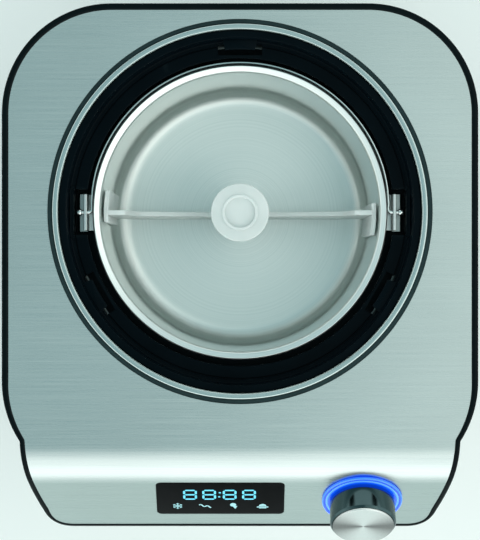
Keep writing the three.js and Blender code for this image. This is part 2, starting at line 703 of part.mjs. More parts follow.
function buildRearCover() {
  const slots = [];
  const slotWidth = COVER_WIDTH - 2 * COVER_SLOT_MARGIN;
  for (let i = 0; i < COVER_SLOTS; i += 1) {
    const z = COVER_Z + (i - (COVER_SLOTS - 1) / 2) * COVER_SLOT_PITCH;
    slots.push(block(slotWidth, PAST_EDGE, COVER_SLOT_HEIGHT, COVER_X, BODY_REAR, z));
  }
  const holes = COVER_CORNERS.map(([, side, up]) =>
    post(SCREW_RADIUS + GAP, -PAST_EDGE, PAST_EDGE, 0, 0, SMALL_SIDES)
      .rotateX(Math.PI / 2)
      .translate(COVER_X + side * SCREW_X, BODY_REAR, COVER_Z + up * SCREW_Z),
  );
  const plate = block(
    COVER_WIDTH - 2 * GAP,
    COVER_THICKNESS,
    COVER_HEIGHT - 2 * GAP,
    COVER_X,
    BODY_REAR - COVER_THICKNESS / 2,
    COVER_Z,
  );
  part("rear_vent_cover", subtract(plate, ...slots, ...holes), FINISHES.darkPlastic);
}

function buildCoverScrews() {
  for (const [name, side, up] of COVER_CORNERS) {
    const screw = turned(
      [
        [0, -SCREW_LENGTH],
        [SCREW_RADIUS, -SCREW_LENGTH],
        [SCREW_RADIUS, GAP],
        [SCREW_HEAD_RADIUS, GAP],
        [SCREW_HEAD_RADIUS - SCREW_HEAD_SLOPE, SCREW_HEAD_HEIGHT],
        [0, SCREW_HEAD_HEIGHT],
      ],
      SMALL_SIDES,
    );
    screw.rotateX(-Math.PI / 2);
    part(name, screw, FINISHES.zinc).position.set(
      COVER_X + side * SCREW_X,
      BODY_REAR,
      COVER_Z + up * SCREW_Z,
    );
  }
}

function buildConsoleFrame() {
  const rim = BAND_WIDTH + LEDGE_WIDTH;
  const column = prism(topOutline(0), FRAME_BOTTOM, DECK_HEIGHT + PAST_EDGE);
  const outside = intersect(column, underDeck(-BAND_PROUD));
  const solid = intersect(outside, aboveNose(0));
  const cavity = intersect(prism(topOutline(rim), 0, DECK_HEIGHT + PAST_EDGE), aboveNose(WALL));
  const seat = toSolid(prism(topOutline(BAND_WIDTH), 0, DECK_HEIGHT + PAST_EDGE)).subtract(
    toSolid(underDeck(SHEET + GAP)),
  );
  const frame = toGeometry(toSolid(solid).subtract(toSolid(cavity)).subtract(seat));
  part("console_frame", frame, FINISHES.darkPlastic);
}

const LIP_OVERLAP = 1; // into the sheet round it
const LIP_FOOT = 2.4; // width and
const LIP_FOOT_RISE = 1; // height of the lip's shallow foot
const LIP_SLOPE = 4.4; // width of the foot and the steep slope
const LIP_BEVEL = 0.6;

// Raised rim round the mouth, with a sloping outside and a flat crown.
function mouthLip() {
  const outer = MOUTH_RADIUS + LIP_WIDTH;
  const top = DECK_HEIGHT + LIP_HEIGHT;
  return turned(
    [
      [outer + LIP_OVERLAP, DECK_HEIGHT - SHEET],
      [outer + LIP_OVERLAP, DECK_HEIGHT],
      [outer - LIP_FOOT, DECK_HEIGHT + LIP_FOOT_RISE],
      [outer - LIP_SLOPE, top],
      [MOUTH_RADIUS + LIP_BEVEL, top],
      [MOUTH_RADIUS, top - LIP_BEVEL],
      [MOUTH_RADIUS, DECK_HEIGHT - SHEET],
    ],
    MOUTH_SIDES,
  );
}

function buildDeck() {
  const sheet = toSolid(prism(topOutline(BAND_WIDTH + GAP), 0, DECK_HEIGHT + PAST_EDGE))
    .intersect(toSolid(underDeck(0)))
    .subtract(toSolid(underDeck(SHEET)));
  const mouth = post(MOUTH_RADIUS + LIP_WIDTH, 0, DECK_HEIGHT + PAST_EDGE, 0, 0, MOUTH_SIDES);
  const windowHole = windowPlate(GAP, -PAST_EDGE, PAST_EDGE).applyMatrix4(windowGroup.matrixWorld);
  const ringHole = post(RING_RADIUS - RING_OVERLAP, -PAST_EDGE / 2, PAST_EDGE / 2, 0, 0, KNOB_SIDES);
  ringHole.applyMatrix4(knobGroup.matrixWorld);
  const deck = sheet
    .subtract(toSolid(mouth))
    .subtract(toSolid(windowHole))
    .subtract(toSolid(ringHole))
    .add(toSolid(mouthLip()));
  part("deck_cover", toGeometry(deck), FINISHES.brushedSteel);
}

// ---------- mouth and well ----------

const CATCH_ANGLES = [90, 210, 330];
const COLLAR_FLANGE_RADIUS = MOUTH_RADIUS + REAR_MARGIN - BAND_WIDTH - LEDGE_WIDTH - GAP;
const COLLAR_OUTER = COLLAR_WALL_RADIUS + WALL;
const COLLAR_BEVEL = 0.8;
const CATCH_OPENING_WIDTH = 27;
const CATCH_OPENING_DEPTH = 5.5;
const COLLAR_SKIRT_BOTTOM = WELL_FLANGE_Z + GAP;

function collarBody() {
  const ledgeBottom = LEDGE_Z - LEDGE_THICKNESS;
  const flangeTop = DECK_HEIGHT - SHEET - GAP;
  return turned(
    [
      [LEDGE_INNER_RADIUS, ledgeBottom],
      [POCKET_OUTER, ledgeBottom],
      [POCKET_OUTER, COLLAR_SKIRT_BOTTOM],
      [COLLAR_OUTER, COLLAR_SKIRT_BOTTOM],
      [COLLAR_OUTER, flangeTop - WALL],
      [COLLAR_FLANGE_RADIUS, flangeTop - WALL],
      [COLLAR_FLANGE_RADIUS, flangeTop],
      [MOUTH_RADIUS - GAP, flangeTop],
      [MOUTH_RADIUS - GAP, DECK_HEIGHT - GAP],
      [COLLAR_WALL_RADIUS + COLLAR_BEVEL, DECK_HEIGHT - GAP],
      [COLLAR_WALL_RADIUS, DECK_HEIGHT - GAP - COLLAR_BEVEL],
      [COLLAR_WALL_RADIUS, LEDGE_Z],
      [LEDGE_INNER_RADIUS, LEDGE_Z],
    ],
    MOUTH_SIDES,
  );
}

function catchTab(angle) {
  const bottom = LEDGE_Z + CATCH_RISE;
  const reach = CATCH_REACH + WALL / 2;
  const middle = COLLAR_WALL_RADIUS - CATCH_REACH + reach / 2;
  const tab = block(reach, CATCH_WIDTH, CATCH_THICKNESS, middle, 0, bottom + CATCH_THICKNESS / 2);
  return tab.rotateZ(THREE.MathUtils.degToRad(angle));
}

// The ledge is open under each catch, so that the catch can be moulded.
function catchOpening(angle) {
  const middle = COLLAR_WALL_RADIUS - CATCH_REACH / 3 - CATCH_OPENING_DEPTH / 2;
  const opening = block(
    CATCH_OPENING_DEPTH,
    CATCH_OPENING_WIDTH,
    2 * PAST_EDGE,
    middle,
    0,
    LEDGE_Z - PAST_EDGE,
  );
  return opening.rotateZ(THREE.MathUtils.degToRad(angle));
}

function pocket(side) {
  const depth = POCKET_OUTER - POCKET_INNER;
  const middle = (side * (POCKET_OUTER + POCKET_INNER)) / 2;
  return block(depth, 2 * POCKET_HALF_WIDTH, 2 * PAST_EDGE, middle, 0, LEDGE_Z);
}

function buildCollar() {
  const openings = CATCH_ANGLES.map((angle) => catchOpening(angle));
  const cut = subtract(collarBody(), ...openings, pocket(-1), pocket(1));
  const collar = add(cut, ...CATCH_ANGLES.map((angle) => catchTab(angle)));
  part("well_collar", collar, FINISHES.darkPlastic);
}

function buildWell() {
  const hole = SHAFT_RADIUS + SEAL_WALL + 2 * GAP;
  const well = turned([
    [hole, WELL_BOTTOM],
    [WELL_OUTER, WELL_BOTTOM],
    [WELL_OUTER, WELL_FLANGE_Z - WELL_WALL],
    [WELL_FLANGE_RADIUS, WELL_FLANGE_Z - WELL_WALL],
    [WELL_FLANGE_RADIUS, WELL_FLANGE_Z],
    [WELL_RADIUS, WELL_FLANGE_Z],
    [WELL_RADIUS, WELL_FLOOR_TOP],
    [hole, WELL_FLOOR_TOP],
  ]);
  part("cooling_well", well, FINISHES.aluminium);
}

const COIL_BOTTOM = WELL_BOTTOM + COIL_TUBE;
const COIL_TAIL_LENGTH = 16; // below the shelf
const COIL_TAIL_BOTTOM = SHELF_HEIGHT - COIL_TAIL_LENGTH;

// A point beside the coil's tails: this far out from the well's axis and this far round to the side.
function tailPoint(radius, aside, z) {
  return point(radius, aside, z).applyAxisAngle(point(0, 0, 1), COIL_TAIL_ANGLE);
}

const TAIL_ASIDE = 14;
const TAIL_BEND = 6; // height over which a tail leaves the coil

function coilRoute() {
  const points = [
    tailPoint(COIL_TAIL_RADIUS, TAIL_ASIDE, COIL_TAIL_BOTTOM),
    tailPoint(COIL_TAIL_RADIUS, TAIL_ASIDE, COIL_BOTTOM - TAIL_BEND),
  ];
  const perTurn = 16;
  for (let i = 2; i <= COIL_TURNS * perTurn - 1; i += 1) {
    const angle = (i / perTurn) * 2 * Math.PI;
    const z = COIL_BOTTOM + (i / perTurn) * COIL_PITCH;
    points.push(tailPoint(COIL_RADIUS * Math.cos(angle), COIL_RADIUS * Math.sin(angle), z));
  }
  const top = COIL_BOTTOM + COIL_TURNS * COIL_PITCH;
  points.push(tailPoint(COIL_TAIL_RADIUS, -TAIL_ASIDE / 2, top - TAIL_BEND));
  points.push(tailPoint(COIL_TAIL_RADIUS, -TAIL_ASIDE / 2, COIL_TAIL_BOTTOM));
  return points;
}

function buildCoil() {
  const coil = tube(coilRoute(), COIL_TUBE, COIL_TURNS * 18, 6);
  part("evaporator_coil", coil, FINISHES.copper);
}

const TAIL_SLOT_WIDTH = 88;
const TAIL_SLOT_DEPTH = 32;

function tailSlot(bottom, top) {
  const middle = FOAM_RADIUS + GAP - TAIL_SLOT_DEPTH / 2;
  const slot = block(TAIL_SLOT_DEPTH, TAIL_SLOT_WIDTH, top - bottom, middle, 0, (bottom + top) / 2);
  return slot.rotateZ(COIL_TAIL_ANGLE);
}

function buildFoam() {
  const heaterRoom = HEATER_TOP - HEATER_THICKNESS - GAP;
  const hole = SHAFT_RADIUS + BEARING_WALL + 2 * GAP;
  const foam = turned([
    [hole, FOAM_BOTTOM],
    [FOAM_RADIUS, FOAM_BOTTOM],
    [FOAM_RADIUS, FOAM_TOP],
    [COIL_CHANNEL, FOAM_TOP],
    [COIL_CHANNEL, heaterRoom],
    [hole, heaterRoom],
  ]);
  const slot = tailSlot(FOAM_BOTTOM - PAST_EDGE, FOAM_TOP - PAST_EDGE);
  part("well_insulation", subtract(foam, slot), FINISHES.foam);
}

function buildHeater() {
  const heaterOuter = WELL_RADIUS - HEATER_MARGIN;
  const heater = ring(HEATER_INNER_RADIUS, heaterOuter, HEATER_TOP - HEATER_THICKNESS, HEATER_TOP, MEDIUM_SIDES);
  part("heater_mat", heater, FINISHES.nylon);
}

function buildShelf() {
  const inset = WALL + GAP;
  const plate = subtract(
    bodyPrism(inset, SHELF_HEIGHT, SHELF_TOP),
    post(SHAFT_RADIUS + BEARING_WALL + GAP, SHELF_HEIGHT - PAST_EDGE, SHELF_TOP + PAST_EDGE),
    tailSlot(SHELF_HEIGHT - PAST_EDGE, SHELF_TOP + PAST_EDGE),
  );
  part("shelf_plate", plate, FINISHES.zinc);
}

// ---------- bowl ----------

const RIM_THICKNESS = 3;
const RIM_BEVEL = 0.8;
const BOWL_BEND_SHARE = 0.3; // middle point of the bend at the bowl's bottom, as a share of its radius

function bowlProfile() {
  const inner = BOWL_RADIUS - BOWL_WALL;
  const bend = BOWL_BEND_SHARE * BOWL_CORNER;
  return [
    [TUBE_BORE, BOWL_BOTTOM],
    [BOWL_RADIUS - BOWL_CORNER, BOWL_BOTTOM],
    [BOWL_RADIUS - bend, BOWL_BOTTOM + bend],
    [BOWL_RADIUS, BOWL_BOTTOM + BOWL_CORNER],
    [BOWL_RADIUS, RIM_Z - RIM_THICKNESS],
    [BOWL_RIM_RADIUS, RIM_Z - RIM_THICKNESS],
    [BOWL_RIM_RADIUS, RIM_Z - RIM_BEVEL],
    [BOWL_RIM_RADIUS - RIM_BEVEL, RIM_Z],
    [inner, RIM_Z],
    [inner, BOWL_BOTTOM + BOWL_CORNER],
    [inner - bend, BOWL_BOTTOM + BOWL_WALL + bend],
    [inner - BOWL_CORNER, BOWL_BOTTOM + BOWL_WALL],
    [TUBE_RADIUS, BOWL_BOTTOM + BOWL_WALL],
    [TUBE_RADIUS, TUBE_TOP],
    [TUBE_BORE, TUBE_TOP],
  ];
}

const LUG_TOP = RIM_Z - RIM_THICKNESS - GAP;

// A strap bent to an L: an upright plate that carries the bail, and a foot welded to the bowl's wall.
function buildLug(name, side) {
  const outer = LUG_OFFSET + LUG_THICKNESS / 2;
  const inner = BOWL_RADIUS + GAP;
  const middleZ = LUG_TOP - LUG_HEIGHT / 2;
  const footZ = LUG_TOP - LUG_HEIGHT + LUG_THICKNESS / 2;
  const plate = block(LUG_THICKNESS, LUG_WIDTH, LUG_HEIGHT, LUG_OFFSET, 0, middleZ);
  const foot = block(outer - inner, LUG_WIDTH, LUG_THICKNESS, (outer + inner) / 2, 0, footZ);
  const hole = post(BAIL_WIRE / 2 + BAIL_HOLE_CLEARANCE, -PAST_EDGE / 2, PAST_EDGE / 2, 0, 0, SMALL_SIDES)
    .rotateY(Math.PI / 2)
    .translate(LUG_OFFSET, 0, BAIL_Z);
  const lug = subtract(add(plate, foot), hole);
  if (side < 0) lug.rotateZ(Math.PI);
  part(name, lug, FINISHES.zinc);
}

// Half a hoop lying behind the bowl's rim; straight ends run out through the lugs to small balls.
function buildBail() {
  const ballX = LUG_OFFSET + BALL_OUTSET;
  const hoop = [];
  const steps = 12;
  for (let i = 0; i <= steps; i += 1) {
    const angle = (i / steps) * Math.PI;
    hoop.push(point(BAIL_RADIUS * Math.cos(angle), BAIL_RADIUS * Math.sin(angle), 0));
  }
  const ends = [-1, 1].map((side) => {
    const start = BAIL_RADIUS - BAIL_WIRE / 2;
    const pin = post(BAIL_WIRE / 2, start, ballX - BAIL_WIRE / 3, 0, 0, SMALL_SIDES).rotateY(Math.PI / 2);
    const ball = new THREE.SphereGeometry(BAIL_BALL / 2, 10, 6).translate(ballX, 0, 0);
    const end = add(pin, ball);
    return side < 0 ? end.rotateZ(Math.PI) : end;
  });
  const bail = add(tube(hoop, BAIL_WIRE, 32, 6), ...ends);
  part("bail_handle", bail, FINISHES.zinc).position.set(0, 0, BAIL_Z);
}

function buildBowl() {
  part("bowl", turned(bowlProfile(), MOUTH_SIDES), FINISHES.aluminium);
  buildLug("bowl_lug_right", 1);
  buildLug("bowl_lug_left", -1);
  buildBail();
}

// ---------- paddle ----------

const BUSH_TOP = TUBE_TOP + SHAFT_CLEARANCE;
const PADDLE_SOCKET = SHAFT_HEAD + 2 * SHAFT_CLEARANCE;
const DISC_THICKNESS = 4;
const DISC_FLARE = 2;
const COLUMN_TAPER = 1;
const HUB_RING_OUTER = 10.8;
const HUB_RING_INNER = 9.4;
const HUB_RING_PROUD = 1; // above the disc, and the dish inside it is as deep
const BLADE_DROP = 3; // blades below the hub's disc
const BLADE_OVERLAP = 1.5; // blades run this far into the column
const SCRAPER_THICKNESS = 3;
const SCRAPER_LEAD = 4; // middle of the scraper ahead of the blade
const ARM_WIDTH = 12; // upright arm that carries the scraper
const ARM_FOOT = 6; // arm widens by this much at its foot
const ARM_FOOT_DROP = 30;
const ROOT_DROP = 40; // blade's top edge at the column
const ROOT_DIP = 4;
const WINDOW_SIDE = 10; // blade's material beside a window
const WINDOW_SLANT = 4;
const BLADE_WINDOWS = [
  [12, 34], // lower and upper edges above the blade's bottom
  [42, 60],
];

function paddleColumn() {
  const bore = BUSH_RADIUS + GAP;
  const roof = BUSH_TOP + GAP;
  const column = turned(
    [
      [bore, PADDLE_BOTTOM],
      [PADDLE_COLUMN_RADIUS, PADDLE_BOTTOM],
      [PADDLE_COLUMN_RADIUS - COLUMN_TAPER, PADDLE_TOP - DISC_THICKNESS - DISC_FLARE],
      [PADDLE_DISC_RADIUS, PADDLE_TOP - DISC_THICKNESS],
      [PADDLE_DISC_RADIUS, PADDLE_TOP],
      [HUB_RING_OUTER, PADDLE_TOP],
      [HUB_RING_OUTER, PADDLE_TOP + HUB_RING_PROUD],
      [HUB_RING_INNER, PADDLE_TOP + HUB_RING_PROUD],
      [HUB_RING_INNER, PADDLE_TOP - HUB_RING_PROUD],
      [0, PADDLE_TOP - HUB_RING_PROUD],
      [0, roof],
      [bore, roof],
    ],
    MEDIUM_SIDES,
  );
  const top = SHAFT_TOP + SHAFT_CLEARANCE;
  const socket = block(PADDLE_SOCKET, PADDLE_SOCKET, top - roof + 2, 0, 0, (top + roof) / 2 - 1);
  return subtract(column, socket);
}

// One blade: an upright plate with windows, ended by a curved scraper that runs near the bowl's wall.
function paddleBlade(side) {
  const inner = PADDLE_COLUMN_RADIUS - BLADE_OVERLAP;
  const outer = PADDLE_RADIUS - SCRAPER_THICKNESS + 1;
  const top = PADDLE_TOP - BLADE_DROP;
  const bottom = PADDLE_BOTTOM;
  const shape = new THREE.Shape();
  shape.moveTo(inner, bottom);
  shape.lineTo(outer - BOWL_CORNER, bottom);
  shape.lineTo(outer, bottom + BOWL_CORNER);
  shape.lineTo(outer, top);
  shape.lineTo(outer - ARM_WIDTH, top);
  shape.lineTo(outer - ARM_WIDTH - ARM_FOOT, top - ARM_FOOT_DROP);
  shape.lineTo(inner + ARM_FOOT, top - ROOT_DROP - ROOT_DIP);
  shape.lineTo(inner, top - ROOT_DROP);
  const windowEnd = outer - WINDOW_SIDE - WINDOW_SLANT;
  for (const [low, high] of BLADE_WINDOWS) {
    const hole = new THREE.Path();
    hole.moveTo(inner + WINDOW_SIDE, bottom + low);
    hole.lineTo(windowEnd, bottom + low + WINDOW_SLANT);
    hole.lineTo(windowEnd, bottom + high);
    hole.lineTo(inner + WINDOW_SIDE, bottom + high - WINDOW_SLANT);
    shape.holes.push(hole);
  }
  const settings = { depth: PADDLE_BLADE, bevelEnabled: false };
  const blade = new THREE.ExtrudeGeometry(shape, settings).rotateX(Math.PI / 2);
  blade.translate(0, PADDLE_BLADE / 2, 0);
  if (side < 0) blade.rotateZ(Math.PI);
  return blade;
}

function scraper(side) {
  const bottom = PADDLE_BOTTOM + BOWL_CORNER;
  const top = PADDLE_TOP - BLADE_DROP;
  const arc = ring(PADDLE_RADIUS - SCRAPER_THICKNESS, PADDLE_RADIUS, bottom, top, 60);
  const tall = 2 * (top - bottom);
  const keep = block(PADDLE_RADIUS, SCRAPER_WIDTH, tall, PADDLE_RADIUS, -SCRAPER_LEAD, bottom);
  const blade = intersect(arc, keep);
  if (side < 0) blade.rotateZ(Math.PI);
  return blade;
}

function buildPaddle() {
  const paddle = add(paddleColumn(), paddleBlade(1), paddleBlade(-1), scraper(1), scraper(-1));
  part("paddle", paddle, FINISHES.frosted);
}

// The paddle turns on this bush, which slips over the bowl's tube.
function buildPaddleBush() {
  const bush = ring(BUSH_BORE, BUSH_RADIUS, PADDLE_BOTTOM, BUSH_TOP, MEDIUM_SIDES);
  part("paddle_bush", bush, FINISHES.nylon);
}

// ---------- drive ----------

const SEAL_WALL = 3;
const BEARING_WALL = 3;
const GEAR_STAND = 9; // gears above the gearbox's floor
const GEAR_Z = GEARBOX_BOTTOM + GEARBOX_WALL + GEAR_STAND;
const AXLE_RADIUS = 3;
const PINION_SHAFT_RADIUS = 2;
const IDLER_SEAT = 3; // seat round the axle, under the idler
const MOTOR_BOSS_SHARE = 0.36; // motor's boss, as a share of its radius
const MOTOR_HOLE_SHARE = 0.4;
const MOTOR_BEVEL = 4;

// A spur gear with straight-flanked teeth; a tooth or a gap of it points along +X.
function spurGear(teeth, bore, bottom, top, gapFirst) {
  const pitch = (teeth * GEAR_MODULE) / 2;
  const tip = pitch + TOOTH_ADDENDUM * GEAR_MODULE;
  const root = pitch - TOOTH_DEDENDUM * GEAR_MODULE;
  const step = (2 * Math.PI) / teeth;
  const circularPitch = Math.PI * GEAR_MODULE;
  const halfTip = (TOOTH_TIP_SHARE * circularPitch) / tip;
  const halfRoot = (TOOTH_ROOT_SHARE * circularPitch - GEAR_BACKLASH) / root;
  const shape = new THREE.Shape();
  for (let i = 0; i < teeth; i += 1) {
    const middle = (i + (gapFirst ? 0.5 : 0)) * step;
    const corners = [
      [root, middle - halfRoot],
      [tip, middle - halfTip],
      [tip, middle + halfTip],
      [root, middle + halfRoot],
    ];
    for (const [radius, angle] of corners) {
      const x = radius * Math.cos(angle);
      const y = radius * Math.sin(angle);
      if (i === 0 && angle === corners[0][1]) shape.moveTo(x, y);
      else shape.lineTo(x, y);
    }
  }
  if (bore > 0) {
    const hole = new THREE.Path();
    hole.absarc(0, 0, bore, 0, 2 * Math.PI, true);
    shape.holes.push(hole);
  }
  return prism(shape, bottom, top, 10);
}

function buildDriveShaft() {
  const length = SHAFT_HEAD_LENGTH + 2 * SHAFT_SHOULDER;
  const foot = GEARBOX_BOTTOM + GEARBOX_WALL + GAP;
  const round = post(SHAFT_RADIUS, foot, TUBE_TOP - SHAFT_SHOULDER, 0, 0, MEDIUM_SIDES);
  const head = block(SHAFT_HEAD, SHAFT_HEAD, length, 0, 0, SHAFT_TOP - length / 2);
  part("drive_shaft", add(round, head), FINISHES.zinc);
}

function buildGears() {
  const top = GEAR_Z + GEAR_WIDTH;
  const output = spurGear(OUTPUT_TEETH, SHAFT_RADIUS + GAP, GEAR_Z, top, false);
  part("output_gear", output, FINISHES.nylon);
  const idler = spurGear(IDLER_TEETH, AXLE_RADIUS + SHAFT_CLEARANCE, GEAR_Z, top, true);
  part("idler_gear", idler, FINISHES.nylon).position.set(IDLER_X, 0, 0);
  const teeth = spurGear(PINION_TEETH, 0, GEAR_Z, top, false);
  const pinion = add(teeth, post(PINION_SHAFT_RADIUS, MOTOR_TOP + GAP, top + 4, 0, 0, SMALL_SIDES));
  part("motor_pinion", pinion, FINISHES.zinc).position.set(MOTOR_X, 0, 0);
}

const GEARBOX_LID = 6;
const GEARBOX_CLEARANCE = 2; // round the gears
const GEARBOX_SPLIT = GEARBOX_BOTTOM + GEARBOX_HEIGHT - GEARBOX_LID;
const MOTOR_TOP = GEARBOX_BOTTOM + GEARBOX_WALL;

// The gearbox in plan: a slot-shaped outline round all three gears.
function gearboxOutline(inset) {
  const left = OUTPUT_RADIUS + GEAR_MODULE + GEARBOX_CLEARANCE + GEARBOX_WALL - inset;
  const shape = new THREE.Shape();
  shape.absarc(0, 0, left, Math.PI / 2, 1.5 * Math.PI);
  shape.lineTo(MOTOR_X, -left);
  shape.absarc(MOTOR_X, 0, left, -Math.PI / 2, Math.PI / 2);
  return shape;
}

function buildGearbox() {
  const tub = subtract(
    prism(gearboxOutline(0), GEARBOX_BOTTOM, GEARBOX_SPLIT),
    prism(gearboxOutline(GEARBOX_WALL), GEARBOX_BOTTOM + GEARBOX_WALL, GEARBOX_SPLIT + PAST_EDGE),
    post(MOTOR_RADIUS * MOTOR_HOLE_SHARE, GEARBOX_BOTTOM - PAST_EDGE, GEARBOX_SPLIT, MOTOR_X, 0, MEDIUM_SIDES),
  );
  const axle = post(AXLE_RADIUS, GEARBOX_BOTTOM + 1, GEARBOX_SPLIT - GAP, IDLER_X, 0, SMALL_SIDES);
  const seat = post(AXLE_RADIUS + IDLER_SEAT, GEARBOX_BOTTOM + 1, GEAR_Z - GAP, IDLER_X, 0, MEDIUM_SIDES);
  part("gearbox_housing", add(tub, axle, seat), FINISHES.greyPlastic);
  const cover = subtract(
    prism(gearboxOutline(0), GEARBOX_SPLIT + GAP, GEARBOX_TOP),
    post(SHAFT_RADIUS + BEARING_WALL + GAP, 0, GEARBOX_TOP + PAST_EDGE),
  );
  part("gearbox_cover", cover, FINISHES.greyPlastic);
}

function buildBearingAndSeal() {
  const bearing = ring(
    SHAFT_RADIUS + SHAFT_CLEARANCE / 3,
    SHAFT_RADIUS + BEARING_WALL,
    GEARBOX_SPLIT + GAP,
    HEATER_TOP - 1,
    16,
  );
  part("shaft_bearing", bearing, FINISHES.copper);
  const seal = ring(
    SHAFT_RADIUS + SHAFT_CLEARANCE,
    SHAFT_RADIUS + SEAL_WALL + GAP,
    WELL_BOTTOM,
    WELL_FLOOR_TOP,
    16,
  );
  part("shaft_seal", seal, FINISHES.rubber);
}

function buildMotor() {
  const bottom = GEARBOX_BOTTOM - GAP - MOTOR_LENGTH;
  const can = turned(
    [
      [0, bottom],
      [MOTOR_RADIUS - MOTOR_BEVEL, bottom],
      [MOTOR_RADIUS, bottom + MOTOR_BEVEL],
      [MOTOR_RADIUS, GEARBOX_BOTTOM - GAP],
      [MOTOR_RADIUS * MOTOR_BOSS_SHARE, GEARBOX_BOTTOM - GAP],
      [MOTOR_RADIUS * MOTOR_BOSS_SHARE, MOTOR_TOP],
      [0, MOTOR_TOP],
    ],
    MEDIUM_SIDES,
  );
  part("drive_motor", can, FINISHES.blackSteel).position.set(MOTOR_X, 0, 0);
}

// ---------- cooling circuit ----------

const BASE_PLATE_Z = TRAY_FLOOR_TOP + GAP + GROMMET_HEIGHT;
const BASE_PLATE_THICKNESS = 2.5;
const COMPRESSOR_BOTTOM = BASE_PLATE_Z + BASE_PLATE_THICKNESS + GAP;
const COMPRESSOR_TOP = SHELF_HEIGHT - COMPRESSOR_HEADROOM;
const PLATE_SPAN = 100;
const DOME_HEIGHT = 22;
const DOME_FLAT = 0.6 * COMPRESSOR_RADIUS; // flat middle of each end
const DOME_SHOULDER = 0.93 * COMPRESSOR_RADIUS;
const COMPRESSOR_HEIGHT_SHARE = 0.6; // discharge port up the compressor's side

function buildCompressor() {
  const middle = DOME_HEIGHT / 2;
  const body = turned(
    [
      [0, COMPRESSOR_BOTTOM],
      [DOME_FLAT, COMPRESSOR_BOTTOM],
      [DOME_SHOULDER, COMPRESSOR_BOTTOM + middle],
      [COMPRESSOR_RADIUS, COMPRESSOR_BOTTOM + DOME_HEIGHT],
      [COMPRESSOR_RADIUS, COMPRESSOR_TOP - DOME_HEIGHT],
      [DOME_SHOULDER, COMPRESSOR_TOP - middle],
      [DOME_FLAT, COMPRESSOR_TOP],
      [0, COMPRESSOR_TOP],
    ],
    MEDIUM_SIDES,
  );
  part("compressor", body, FINISHES.blackSteel).position.set(COMPRESSOR_X, COMPRESSOR_Y, 0);
  const corners = GROMMETS.map(([, x, y]) => post(GROMMET_HOLE, 0, SHELL_TOP, x, y, SMALL_SIDES));
  const plate = block(
    PLATE_SPAN,
    PLATE_SPAN,
    BASE_PLATE_THICKNESS,
    COMPRESSOR_X,
    COMPRESSOR_Y,
    BASE_PLATE_Z + BASE_PLATE_THICKNESS / 2,
  );
  part("compressor_base", subtract(plate, ...corners), FINISHES.blackSteel);
}

const GROMMET_HOLE = 4;
const GROMMET_RADIUS = 7;
const GROMMET_INSET = 9; // from the plate's edges
const GROMMET_REACH = PLATE_SPAN / 2 - GROMMET_INSET;
const GROMMETS = [
  ["compressor_grommet_1", COMPRESSOR_X - GROMMET_REACH, COMPRESSOR_Y - GROMMET_REACH],
  ["compressor_grommet_2", COMPRESSOR_X + GROMMET_REACH, COMPRESSOR_Y - GROMMET_REACH],
  ["compressor_grommet_3", COMPRESSOR_X - GROMMET_REACH, COMPRESSOR_Y + GROMMET_REACH],
  ["compressor_grommet_4", COMPRESSOR_X + GROMMET_REACH, COMPRESSOR_Y + GROMMET_REACH],
];

function buildGrommets() {
  const top = BASE_PLATE_Z + BASE_PLATE_THICKNESS;
  for (const [name, x, y] of GROMMETS) {
    const grommet = turned(
      [
        [0, TRAY_FLOOR_TOP + GAP],
        [GROMMET_RADIUS, TRAY_FLOOR_TOP + GAP],
        [GROMMET_RADIUS, BASE_PLATE_Z - GAP],
        [GROMMET_HOLE - GAP, BASE_PLATE_Z - GAP],
        [GROMMET_HOLE - GAP, top],
        [0, top],
      ],
      SMALL_SIDES,
    );
    part(name, grommet, FINISHES.rubber).position.set(x, y, 0);
  }
}

const CONDENSER_STAND = 4; // above the tray's floor
const CONDENSER_SETBACK = 10; // from the rear wall
const CONDENSER_FRAME = 8; // above and below the fins
const CONDENSER_BOTTOM = TRAY_FLOOR_TOP + GAP + CONDENSER_STAND;
const CONDENSER_Y = BODY_REAR - WALL - CONDENSER_SETBACK - CONDENSER_DEPTH / 2;
const CONDENSER_WIDTH = BODY_WIDTH - CONDENSER_SIDE_ROOM;
const CONDENSER_X = HALF_WIDTH - CONDENSER_MARGIN - CONDENSER_WIDTH / 2;
const FAN_X = CONDENSER_X + FAN_OFFSET;
const CONDENSER_MIDDLE = CONDENSER_BOTTOM + CONDENSER_HEIGHT / 2;

function buildCondenser() {
  const blockBody = block(
    CONDENSER_WIDTH,
    CONDENSER_DEPTH,
    CONDENSER_HEIGHT,
    CONDENSER_X,
    CONDENSER_Y,
    CONDENSER_MIDDLE,
  );
  const slots = [];
  const count = Math.floor(CONDENSER_WIDTH / FIN_PITCH) - 1;
  const finHeight = CONDENSER_HEIGHT - 2 * CONDENSER_FRAME;
  for (let i = 0; i < count; i += 1) {
    const x = CONDENSER_X + (i - (count - 1) / 2) * FIN_PITCH;
    slots.push(block(FIN_SLOT, CONDENSER_DEPTH * 2, finHeight, x, CONDENSER_Y, CONDENSER_MIDDLE));
  }
  part("condenser", subtract(blockBody, ...slots), FINISHES.blackSteel);
}

